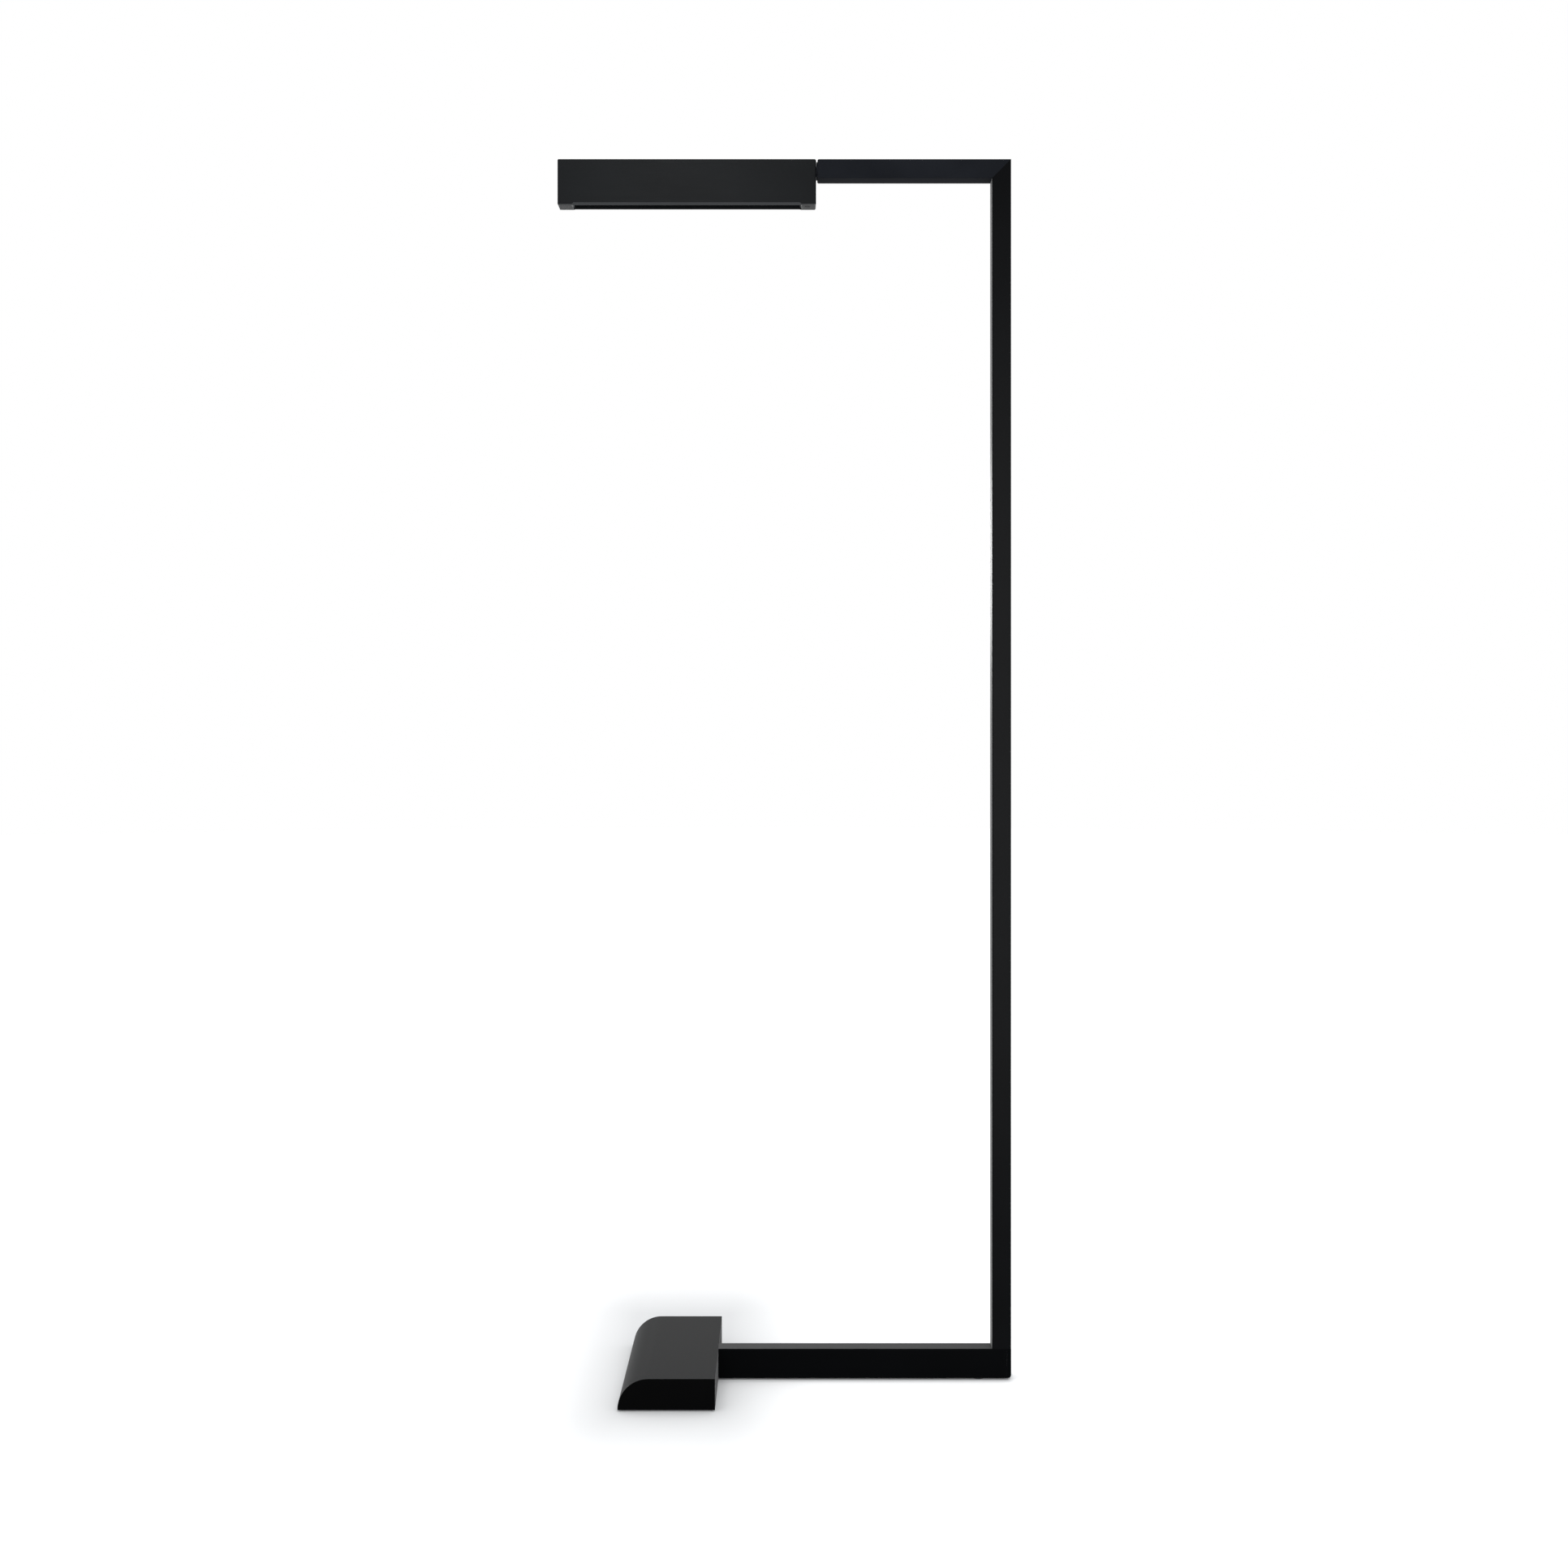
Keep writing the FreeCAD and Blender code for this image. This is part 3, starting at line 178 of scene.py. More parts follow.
class Finish:
    """A material in the making. Its patterns read object coordinates, in metres."""

    def __init__(self, name, fixed=None):
        self.material = bpy.data.materials.new(name)
        self.material.use_nodes = True
        self.tree = self.material.node_tree
        self.shader = self.tree.nodes["Principled BSDF"]
        for socket, value in (fixed or {}).items():
            self.shader.inputs[socket].default_value = value
        self.place = add_node(self.tree, "ShaderNodeTexCoord").outputs["Object"]

    def add(self, kind, inputs, **settings):
        """A node of this material."""
        return add_node(self.tree, kind, inputs, **settings)

    def grain(self, size, stretch=(1, 1, 1), detail=2.0):
        """A noise with features about size across, longer along axes with a small stretch."""
        mapping = self.add("ShaderNodeMapping", {"Vector": self.place, "Scale": stretch})
        texture = self.add(
            "ShaderNodeTexNoise",
            {"Vector": mapping.outputs["Vector"], "Scale": 1 / size, "Detail": detail},
        )
        return texture.outputs["Fac"]

    def flakes(self, size, feature="F1"):
        """A pattern of cells about size across."""
        texture = self.add(
            "ShaderNodeTexVoronoi", {"Vector": self.place, "Scale": 1 / size}, feature=feature
        )
        return texture.outputs["Distance"]

    def rings(self, pitch, axis, centre):
        """Fine rings round an axis, as a lathe leaves."""
        back = [-value for value in centre]
        mapping = self.add("ShaderNodeMapping", {"Vector": self.place, "Location": back})
        texture = self.add(
            "ShaderNodeTexWave",
            {"Vector": mapping.outputs["Vector"], "Scale": 0.314 / pitch, "Distortion": 0.4},
            wave_type="RINGS",
            rings_direction=axis,
        )
        return texture.outputs["Fac"]

    def spread(self, factor, low, high, start=0.3, end=0.7):
        """The factor's middle range, spread from low to high."""
        node = self.add(
            "ShaderNodeMapRange",
            {"Value": factor, "From Min": start, "From Max": end, "To Min": low, "To Max": high},
        )
        return node.outputs["Result"]

    def tint(self, factor, dark, light, start=0.3, end=0.7):
        """The base colour runs from dark to light with the factor."""
        ramp = self.add("ShaderNodeValToRGB", {"Fac": factor})
        first, last = ramp.color_ramp.elements
        first.position, last.position = start, end
        first.color = (*dark, 1)
        last.color = (*light, 1)
        self.tree.links.new(ramp.outputs["Color"], self.shader.inputs["Base Color"])
        return ramp.outputs["Color"]

    def gloss(self, factor, low, high):
        """The roughness runs from low to high with the factor."""
        self.tree.links.new(self.spread(factor, low, high), self.shader.inputs["Roughness"])

    def relief(self, factor, depth):
        """Bumps of that depth, laid over any that are there already."""
        inputs = {"Height": factor, "Strength": 1.0, "Distance": depth}
        below = self.shader.inputs["Normal"].links
        if below:
            inputs["Normal"] = below[0].from_socket
        node = self.add("ShaderNodeBump", inputs)
        self.tree.links.new(node.outputs["Normal"], self.shader.inputs["Normal"])


def times(colour, share):
    """The colour made darker or lighter."""
    return [channel * share for channel in colour]


def powder_coat(name, colour, specular, roughness, sheen=0.0):
    """Fine powder coat: a low orange peel, a finer grain, uneven depth and a dusty sheen."""
    dust = {"Sheen Weight": sheen, "Sheen Roughness": 0.3}
    finish = Finish(name, {"Specular IOR Level": specular, **dust})
    peel = finish.grain(2.6 * MM, detail=1.0)
    grit = finish.grain(0.5 * MM, detail=3.0)
    finish.tint(finish.grain(70 * MM), times(colour, 0.85), times(colour, 1.2))
    finish.gloss(grit, roughness - 0.05, roughness + 0.06)
    finish.relief(peel, 0.02 * MM)
    finish.relief(grit, 0.008 * MM)
    return finish.material


def anodised(name, colour, specular, roughness):
    """Black anodised extrusion: hairlines along X that the die left under a satin skin."""
    finish = Finish(name, {"Specular IOR Level": specular})
    hairline = finish.grain(0.35 * MM, stretch=(0.012, 1, 1), detail=3.0)
    cloud = finish.grain(45 * MM, stretch=(0.5, 1, 1))
    finish.tint(cloud, times(colour, 0.88), times(colour, 1.15))
    finish.gloss(hairline, roughness - 0.03, roughness + 0.03)
    finish.relief(hairline, 0.002 * MM)
    finish.relief(finish.grain(0.4 * MM), 0.003 * MM)
    return finish.material


def cast_coat(name, colour, specular, roughness, sheen):
    """Textured coat over a casting: pebbles with a fine grit between them, and a dusty sheen."""
    dust = {"Sheen Weight": sheen, "Sheen Roughness": 0.45}
    finish = Finish(name, {"Specular IOR Level": specular, **dust})
    pebble = finish.flakes(1.4 * MM, feature="SMOOTH_F1")
    grit = finish.grain(0.45 * MM, detail=3.0)
    finish.tint(finish.grain(50 * MM), times(colour, 0.85), times(colour, 1.2))
    finish.gloss(grit, roughness - 0.05, roughness + 0.06)
    finish.relief(pebble, 0.03 * MM)
    finish.relief(grit, 0.012 * MM)
    return finish.material


def felt(name, colour):
    """Pressed wool felt: matted fibres with lighter hairs and a soft sheen."""
    finish = Finish(name, {"Roughness": 0.95, "Sheen Weight": 0.35, "Specular IOR Level": 0.1})
    fibre = finish.grain(0.25 * MM, stretch=(1, 0.3, 1), detail=6.0)
    matting = finish.grain(1.6 * MM, detail=4.0)
    finish.tint(fibre, times(colour, 0.6), times(colour, 1.9))
    finish.relief(matting, 0.25 * MM)
    finish.relief(fibre, 0.10 * MM)
    return finish.material


def moulded(name, colour, roughness):
    """Moulded plastic with a spark-eroded texture."""
    finish = Finish(name, {"Specular IOR Level": 0.15})
    spark = finish.flakes(0.22 * MM, feature="SMOOTH_F1")
    finish.tint(finish.grain(9 * MM), times(colour, 0.85), times(colour, 1.15))
    finish.gloss(spark, roughness - 0.06, roughness + 0.08)
    finish.relief(spark, 0.01 * MM)
    return finish.material


def bare_metal(name, colour, roughness, scratch=(1, 0.02, 1)):
    """Bare or plated metal with fine marks along one axis and a cloudy bloom."""
    finish = Finish(name, {"Metallic": 1.0})
    marks = finish.grain(0.2 * MM, stretch=scratch, detail=3.0)
    finish.tint(finish.grain(4 * MM, detail=3.0), times(colour, 0.82), times(colour, 1.05))
    finish.gloss(marks, roughness - 0.06, roughness + 0.1)
    finish.relief(marks, 0.003 * MM)
    return finish.material


def turned_metal(name, colour, roughness, axis, centre):
    """Metal from the lathe: fine rings round its axis."""
    finish = Finish(name, {"Metallic": 1.0})
    rings = finish.rings(0.12 * MM, axis, centre)
    finish.tint(finish.grain(3 * MM, detail=3.0), times(colour, 0.85), times(colour, 1.05))
    finish.gloss(rings, roughness - 0.05, roughness + 0.08)
    finish.relief(rings, 0.003 * MM)
    return finish.material


def black_oxide(name, colour):
    """Black oxide on steel: nearly black, oily, with brown clouds."""
    finish = Finish(name, {"Metallic": 1.0})
    cloud = finish.grain(1.8 * MM, detail=4.0)
    finish.tint(cloud, colour, [colour[0] * 1.9, colour[1] * 1.6, colour[2] * 1.4])
    finish.gloss(finish.grain(0.3 * MM, detail=3.0), 0.32, 0.5)
    finish.relief(cloud, 0.004 * MM)
    return finish.material


def opal_acrylic(name, colour):
    """Opal acrylic: milky all through, satin outside, with a faint flow along its length."""
    fixed = {"Subsurface Weight": 0.5, "Subsurface Scale": 2 * MM, "Specular IOR Level": 0.4}
    finish = Finish(name, fixed)
    finish.shader.inputs["Subsurface Radius"].default_value = (1.0, 0.95, 0.85)
    flow = finish.grain(6 * MM, stretch=(0.06, 1, 1), detail=2.0)
    satin = finish.grain(0.25 * MM, detail=2.0)
    finish.tint(flow, times(colour, 0.97), times(colour, 1.03))
    finish.gloss(satin, 0.34, 0.44)
    finish.relief(satin, 0.003 * MM)
    return finish.material


def circuit_board(name, mask, track):
    """A solder mask with a pattern of tracks that stand up a little under it."""
    finish = Finish(name, {"Specular IOR Level": 0.5})
    tracks = finish.add(
        "ShaderNodeTexBrick",
        {
            "Vector": finish.place,
            "Scale": 1.0,
            "Mortar Size": 0.14 * MM,
            "Mortar Smooth": 0.1,
            "Brick Width": 5.2 * MM,
            "Row Height": 1.15 * MM,
        },
        offset=0.37,
        squash=1.0,
    )
    finish.tint(tracks.outputs["Fac"], mask, track, 0.2, 0.8)
    finish.gloss(finish.grain(0.8 * MM), 0.28, 0.4)
    finish.relief(tracks.outputs["Fac"], 0.03 * MM)
    return finish.material


def led_package(name, first_x, pitch, case, gel, radius):
    """White LED cases in a row, each with a round yellow gel window in its middle."""
    finish = Finish(name, {"Specular IOR Level": 0.5})
    parts = finish.add("ShaderNodeSeparateXYZ", {"Vector": finish.place})
    along = finish.add(
        "ShaderNodeMath",
        {0: parts.outputs["X"], 1: first_x + pitch / 2, 2: first_x - pitch / 2},
        operation="WRAP",
    )
    across = finish.add("ShaderNodeMath", {0: along.outputs[0], 1: first_x}, operation="SUBTRACT")
    flat = finish.add("ShaderNodeCombineXYZ", {"X": across.outputs[0], "Y": parts.outputs["Y"]})
    distance = finish.add("ShaderNodeVectorMath", {0: flat.outputs[0]}, operation="LENGTH")
    rim = finish.spread(distance.outputs["Value"], 0.0, 1.0, radius * 0.94, radius * 1.04)
    finish.tint(rim, gel, case, 0.0, 1.0)
    finish.gloss(rim, 0.12, 0.5)
    finish.relief(finish.grain(0.3 * MM), 0.004 * MM)
    return finish.material


def cable_sheath(name, colour, roughness):
    """Extruded cable sheath: faint die lines and a little talc."""
    finish = Finish(name, {"Specular IOR Level": 0.35})
    finish.tint(finish.grain(2 * MM, detail=4.0), times(colour, 0.8), times(colour, 1.4))
    finish.gloss(finish.grain(0.5 * MM), roughness - 0.06, roughness + 0.08)
    finish.relief(finish.grain(0.4 * MM, detail=3.0), 0.01 * MM)
    return finish.material


def make_finishes(colours):
    """Every finish by its name. Each carried-over part takes the one of its material slot."""
    axle = sum(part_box("swivel_spindle"), Vector()) / 2
    chips_low, chips_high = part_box("led_chips")
    chip_length, chip_count, window_radius = 3.5 * MM, 24, 1.15 * MM
    pitch = (chips_high.x - chips_low.x - chip_length) / (chip_count - 1)
    first_chip = chips_low.x + chip_length / 2
    white_case, yellow_gel = (0.85, 0.85, 0.83), (0.85, 0.62, 0.1)
    return {
        # The post's coat is the real one; the arm's lighter copy is painted light and the bar's
        # darker copy painted shade, with their sheen and gloss set apart as well
        "powder_coated_steel": powder_coat("tube_powder_coat", colours.tube, 0.012, 0.4, 0.25),
        "bar_coat": powder_coat("bar_powder_coat", colours.bar, 0.008, 0.5, 0.5),
        "arm_coat": powder_coat("arm_powder_coat", colours.arm, 0.002, 0.6, 0.05),
        "black_aluminium": anodised("black_anodised_aluminium", colours.head, 0.03, 0.30),
        # The milled facets take a lighter, glossier copy of the anodising: a painted highlight
        "milled_facet": anodised("milled_facet", colours.facets, 0.28, 0.34),
        # The inside of the head: a darker matt copy, partly painted shade in the recess
        "matt_cavity_painted_shade": powder_coat("matt_black_cavity", colours.cavity, 0.02, 0.8),
        "cast_base": cast_coat("base_textured_coat", colours.base, 0.003, 0.5, 0.125),
        "grey_felt": felt("pressed_felt", colours.felt),
        "black_nylon": moulded("black_moulded_nylon", colours.nylon, 0.5),
        "black_oxide_steel": black_oxide("black_oxide_steel", (0.016, 0.016, 0.017)),
        "zinc_steel": bare_metal("zinc_plated_steel", (0.62, 0.63, 0.64), 0.34),
        "spindle_steel": turned_metal("turned_spindle_steel", (0.5, 0.5, 0.51), 0.26, "X", axle),
        "spacer_brass": bare_metal("brass", (0.8, 0.62, 0.28), 0.3),
        "sink_aluminium": bare_metal(
            "mill_aluminium", (0.78, 0.78, 0.79), 0.38, scratch=(0.01, 1, 1)
        ),
        "opal_acrylic": opal_acrylic("opal_acrylic", colours.opal),
        "white_board": circuit_board("white_solder_mask", (0.82, 0.82, 0.80), (0.76, 0.76, 0.74)),
        "green_board": circuit_board("green_solder_mask", (0.012, 0.11, 0.045), (0.03, 0.20, 0.08)),
        "led_phosphor": led_package(
            "led_package", first_chip, pitch, white_case, yellow_gel, window_radius
        ),
        "black_components": moulded("component_black", (0.02, 0.02, 0.022), 0.45),
        "terminal_nylon": moulded("terminal_nylon", (0.72, 0.70, 0.64), 0.42),
        "black_cable": cable_sheath("black_cable_sheath", (0.012, 0.012, 0.013), 0.5),
        "red_wire": cable_sheath("red_wire_insulation", (0.42, 0.02, 0.02), 0.35),
        "spring_steel": bare_metal("spring_steel", (0.6, 0.6, 0.62), 0.22),
    }


# --- Shaping ------------------------------------------------------------------------------------


def put(bm, name, node, *finishes):
    """The finished mesh as a piece that stands for a CAD node and rides on its body."""
    mesh = bpy.data.meshes.new(name)
    bm.to_mesh(mesh)
    bm.free()
    mesh.shade_smooth()
    mesh.set_sharp_from_angle(angle=SMOOTH_ANGLE)
    for finish in finishes:
        mesh.materials.append(finish)
    piece = bpy.data.objects.new(name, mesh)
    bpy.context.scene.collection.objects.link(piece)
    even = piece.modifiers.new("even_normals", "WEIGHTED_NORMAL")
    even.keep_sharp = True
    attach(piece, body_of(node))
    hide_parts(node)
    return piece


def merged_copy(node):
    """The part's own shape as one merged mesh."""
    bm = bmesh.new()
    bm.from_mesh(frame["nodes"][node].data)
    bmesh.ops.remove_doubles(bm, verts=bm.verts, dist=MERGE_DISTANCE)
    bmesh.ops.dissolve_limit(bm, angle_limit=FLAT_ANGLE, verts=bm.verts, edges=bm.edges)
    return bm


def ease(bm, edges, width, segments=2):
    """Round those edges over the given width."""
    bmesh.ops.bevel(
        bm,
        geom=edges,
        offset=width,
        offset_type="OFFSET",
        segments=segments,
        profile=0.5,
        affect="EDGES",
        clamp_overlap=True,
        material=-1,
    )


def sharp_edges(bm, angle):
    """The edges whose two faces turn by more than the angle."""
    return [edge for edge in bm.edges if edge.is_manifold and edge.calc_face_angle() > angle]


def rise(edge):
    """How much higher one end of an edge is than the other."""
    return abs(edge.verts[0].co.z - edge.verts[1].co.z)


def solids_of(node):
    """The lowest and highest corner of each separate solid of a CAD node."""
    bm = merged_copy(node)
    left = set(bm.verts)
    boxes = []
    while left:
        reached = [left.pop()]
        for vert in reached:
            near = {edge.other_vert(vert) for edge in vert.link_edges} & left
            left -= near
            reached.extend(near)
        low = Vector([min(vert.co[axis] for vert in reached) for axis in range(3)])
        high = Vector([max(vert.co[axis] for vert in reached) for axis in range(3)])
        boxes.append((low, high))
    bm.free()
    return sorted(boxes, key=lambda box: tuple(round(value, 5) for value in box[0]))


def turn_profile(bm, profile, steps, closed=False):
    """Spin a profile of radius and height pairs round the Z axis. Ends on the axis become poles."""
    verts = [bm.verts.new((radius, 0, height)) for radius, height in profile]
    edges = [bm.edges.new(pair) for pair in zip(verts, verts[1:])]
    if closed:
        edges.append(bm.edges.new((verts[-1], verts[0])))
    bmesh.ops.spin(
        bm,
        geom=verts + edges,
        axis=(0, 0, 1),
        cent=(0, 0, 0),
        angle=math.tau,
        steps=steps,
        use_merge=True,
    )
    bmesh.ops.remove_doubles(bm, verts=bm.verts, dist=POLE_MERGE_DISTANCE)
    bmesh.ops.recalc_face_normals(bm, faces=bm.faces)


def flatten_to_hexagon(vert):
    """Move a point of a circle round the Z axis onto the hexagon inside it."""
    angle = math.atan2(vert.co.y, vert.co.x) % math.radians(60)
    vert.co.xy *= math.cos(math.radians(30)) / math.cos(angle - math.radians(30))


def thread(radius, top, bottom, pitch):
    """Profile points down a threaded shank, from crest to root and back."""
    turns = max(1, int((top - bottom) / pitch))
    root = 0.86 * radius
    points = []
    for turn in range(turns):
        height = top - turn * pitch
        points.append((radius, height - 0.1 * pitch))
        points.append((root, height - 0.5 * pitch))
        points.append((root, height - 0.6 * pitch))
    points.append((radius, top - turns * pitch))
    return points


def stand(bm, place, outward):
    """Turn a shape made upright at the origin so its top faces outward, and set it in place."""
    turn = Vector((0, 0, 1)).rotation_difference(Vector(outward)).to_matrix().to_4x4()
    bmesh.ops.transform(bm, matrix=Matrix.Translation(place) @ turn, verts=bm.verts)


def repeat(master, places, outward):
    """One mesh with the master shape set in each place. The master is freed."""
    template = bpy.data.meshes.new("template")
    master.to_mesh(template)
    master.free()
    whole = bmesh.new()
    for place in places:
        single = bmesh.new()
        single.from_mesh(template)
        stand(single, place, outward)
        copy = bpy.data.meshes.new("copy")
        single.to_mesh(copy)
        single.free()
        whole.from_mesh(copy)
        bpy.data.meshes.remove(copy)
    bpy.data.meshes.remove(template)
    return whole


def body_of(node):
    """The body that a CAD node is on."""
    for body, members in frame["record"]["behaviour"]["bodies"].items():
        if node in members:
            return body
    raise ValueError(node + " is on no body")


def slot_of(node):
    """The record's material slot of a CAD node."""
    for part in frame["record"]["subparts"]:
        if part["node"] == node:
            return part["material_slot"]
    raise ValueError(node + " has no material slot")


def socket_screw(radius, length, head):
    """A screw at the origin, point down and its top at height 0, with a hexagon socket."""
    if head == "countersunk":
        rim = [(1.94 * radius, 0), (2 * radius, -0.06 * radius), (1.06 * radius, -radius)]
    elif head == "pan":
        rim = [(1.5 * radius, 0), (1.82 * radius, -0.25 * radius), (1.9 * radius, -0.7 * radius)]
        rim += [(1.9 * radius, -1.2 * radius), (radius, -1.2 * radius)]
    else:
        rim = [(0.88 * radius, 0), (radius, -0.12 * radius)]
    socket = tip = 0.72 * radius
    thread_end = -length + 0.35 * radius
    profile = [(0, -1.12 * radius), (socket, -radius), (socket, 0)] + rim
    profile += thread(radius, rim[-1][1], thread_end, 0.34 * radius)
    profile += [(tip, -length), (0, -length)]
    bm = bmesh.new()
    turn_profile(bm, profile, steps=24)
    for vert in bm.verts:
        if abs(vert.co.xy.length - socket) < 0.01 * socket and vert.co.z > -1.01 * radius:
            flatten_to_hexagon(vert)
    return bm


# --- Stage --------------------------------------------------------------------------------------


VIEW_SHIFT = -0.02  # moves the view down to the foot, in picture widths
CAMERA_SIDE = -0.3 * MM

# Each lamp: its power's setting, its place, what it faces, its width and height, and whether it
# only shows as a soft sheen on the black finishes and leaves the floor as it is
LAMPS = {
    "top_softbox": ("top_power", (0.0, 0.1, 3.0), (0.0, 0.0, 0.3), 2.4, 2.4, False),
    "front_softbox": ("front_power", (0.0, -3.6, 0.75), (0.0, 0.0, 0.75), 1.6, 1.3, False),
    "back_strip": ("back_power", (-0.365, 3.6, 1.25), (-0.2, 0.0, 0.1), 1.67, 0.5, True),
    "post_strip": ("post_power", (0.374, -1.3, 0.7), (0.224, 0.0, 0.7), 0.2, 1.36, True),
    "head_card": ("head_power", (-0.24, -1.9, 1.86), (-0.12, 0.0, 1.27), 0.25, 0.4, True),
}

# How much the floor's paper glows at each distance from the base block's shadow, in metres. The
# glow is held back round the block, so the shadow there is partly painted shadow and partly cast by
# the lamps
GLOW = ((0.010, 0.0), (0.037, 0.048), (0.066, 0.098), (0.092, 0.151), (0.177, 0.32), (2.0, 0.5))
GLOW_END = GLOW[-1][0]
PAINTED_SHADOW_LENGTH = 107 * MM  # how far that shadow runs back from the block
PAINTED_SHADOW_WEIGHT = (1.8, 1, 1)  # it fades faster to the sides
# Next to the foot bar the glow is held back too, a painted shadow along the bar
BAR_PAINTED_SHADOW = (1 * MM, 9 * MM)  # the foot bar's own shadow fades between these distances


def make_camera(scene, studio):
    """A level camera in front, whose view is shifted down to the foot."""
    data = bpy.data.cameras.new("camera")
    data.sensor_width = 36.0
    data.lens = studio.lens
    data.shift_y = VIEW_SHIFT
    data.clip_start = 0.05
    camera = bpy.data.objects.new("camera", data)
    camera.location = (CAMERA_SIDE, -studio.camera_distance, studio.camera_height)
    camera.rotation_euler = (math.radians(90), 0, 0)
    scene.collection.objects.link(camera)
    scene.camera = camera


def make_lamp(name, power, place, target, width, height, sheen_only):
    """A soft rectangular lamp that faces its target."""
    data = bpy.data.lights.new(name, "AREA")
    data.shape = "RECTANGLE"
    data.size = width
    data.size_y = height
    data.energy = power
    lamp = bpy.data.objects.new(name, data)
    lamp.location = place
    lamp.rotation_euler = (Vector(target) - Vector(place)).to_track_quat("-Z", "Y").to_euler()
    lamp.visible_camera = False
    lamp.visible_diffuse = not sheen_only
    bpy.context.scene.collection.objects.link(lamp)


def seen_directly(tree):
    """1 for rays that show the surface itself: to the camera, mirrored, or through glass."""
    path = add_node(tree, "ShaderNodeLightPath")
    total = path.outputs["Is Camera Ray"]
    for ray in ("Is Glossy Ray", "Is Transmission Ray"):
        inputs = {0: total, 1: path.outputs[ray]}
        total = add_node(tree, "ShaderNodeMath", inputs, operation="MAXIMUM").outputs[0]
    return total


def make_world(scene):
    """Soft light from all round, and plain white where it shows."""
    world = bpy.data.worlds.new("studio")
    scene.world = world
    world.use_nodes = True
    tree = world.node_tree
    tree.nodes.clear()
    cool = {"Color": (0.96, 0.98, 1.0, 1), "Strength": 0.75}
    white = {"Color": (1, 1, 1, 1), "Strength": 1.0}
    soft = add_node(tree, "ShaderNodeBackground", cool)
    plain = add_node(tree, "ShaderNodeBackground", white)
    sources = {"Fac": seen_directly(tree), 1: soft.outputs[0], 2: plain.outputs[0]}
    mix = add_node(tree, "ShaderNodeMixShader", sources)
    add_node(tree, "ShaderNodeOutputWorld", {"Surface": mix.outputs[0]})


def distance_on_floor(tree, low, high, weight=(1, 1, 1)):
    """How far a place on the floor is from the rectangle below a box, with X and Y weighed."""
    middle = (low + high) / 2
    half = (high - low) / 2
    half.z = middle.z = 0
    steps = (
        ("SUBTRACT", {1: middle}),
        ("ABSOLUTE", {}),
        ("SUBTRACT", {1: half}),
        ("MAXIMUM", {1: (0, 0, 0)}),
        ("MULTIPLY", {1: weight}),
        ("LENGTH", {}),
    )
    value = add_node(tree, "ShaderNodeTexCoord").outputs["Object"]
    for operation, inputs in steps:
        node = add_node(tree, "ShaderNodeVectorMath", {0: value, **inputs}, operation=operation)
        value = node.outputs["Value" if operation == "LENGTH" else "Vector"]
    return value


def floor_glow_and_painted_shadow(tree):
    """How much the paper glows: held back close to the foot, a painted shadow over the one the
    lamps cast, and more with the distance.
    """
    low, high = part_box("base_block")
    high.y += PAINTED_SHADOW_LENGTH
    inputs = {0: distance_on_floor(tree, low, high, PAINTED_SHADOW_WEIGHT), 1: GLOW_END}
    away = add_node(tree, "ShaderNodeMath", inputs, operation="DIVIDE")
    ramp = add_node(tree, "ShaderNodeValToRGB", {"Fac": away.outputs[0]})
    points = ramp.color_ramp.elements
    while len(points) < len(GLOW):
        points.new(0.5)
    for point, (distance, glow) in zip(points, GLOW):
        point.position = distance / GLOW_END
        point.color = (glow, glow, glow, 1)
    start, end = BAR_PAINTED_SHADOW
    from_bar = distance_on_floor(tree, *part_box("foot_bar"))
    inputs = {"Value": from_bar, "From Min": start, "From Max": end}
    clear = add_node(tree, "ShaderNodeMapRange", inputs)
    inputs = {0: ramp.outputs["Color"], 1: clear.outputs["Result"]}
    return add_node(tree, "ShaderNodeMath", inputs, operation="MULTIPLY").outputs[0]


def make_floor(radius):
    """A round floor of white paper that glows a little, so it meets the white round it; near the
    foot the glow is held back as a painted shadow.
    """
    bm = bmesh.new()
    bmesh.ops.create_circle(bm, cap_ends=True, segments=96, radius=radius)
    mesh = bpy.data.meshes.new("floor")
    bm.to_mesh(mesh)
    bm.free()
    floor = bpy.data.objects.new("floor", mesh)
    bpy.context.scene.collection.objects.link(floor)
    material = bpy.data.materials.new("floor_paper")
    material.use_nodes = True
    tree = material.node_tree
    shader = tree.nodes["Principled BSDF"]
    paper = {
        "Base Color": (0.8, 0.8, 0.8, 1),
        "Roughness": 0.9,
        "Specular IOR Level": 0.0,
        "Emission Color": (1, 1, 1, 1),
    }
    for socket, value in paper.items():
        shader.inputs[socket].default_value = value
    inputs = {0: seen_directly(tree), 1: floor_glow_and_painted_shadow(tree)}
    glow = add_node(tree, "ShaderNodeMath", inputs, operation="MULTIPLY")
    tree.links.new(glow.outputs[0], shader.inputs["Emission Strength"])
    mesh.materials.append(material)


# --- Operators ----------------------------------------------------------------------------------


# The finishes by name, once the operator has made them
FINISHES = {}

# Each piece of metalwork: the setting of its easing, and its finish
METALWORK = {
    "post_tube": ("tube_easing", "powder_coated_steel"),
    "arm_tube": ("tube_easing", "arm_coat"),
    "foot_bar": ("tube_easing", "bar_coat"),
    "foot_bar_end_cap": ("tube_easing", "bar_coat"),
    "base_block": ("base_easing", "cast_base"),
    "arm_end_plug": ("head_easing", "arm_coat"),
}
# The head's casing, and the places of its second and third finish: milled facets painted lighter as
# a painted highlight, and a matt black inside painted darker, partly as painted shade
HEAD_PARTS = ("head_housing", "outer_end_cap", "inner_end_cap")
MILLED_PAINTED_HIGHLIGHT, MATT_PAINTED_SHADE = 1, 2

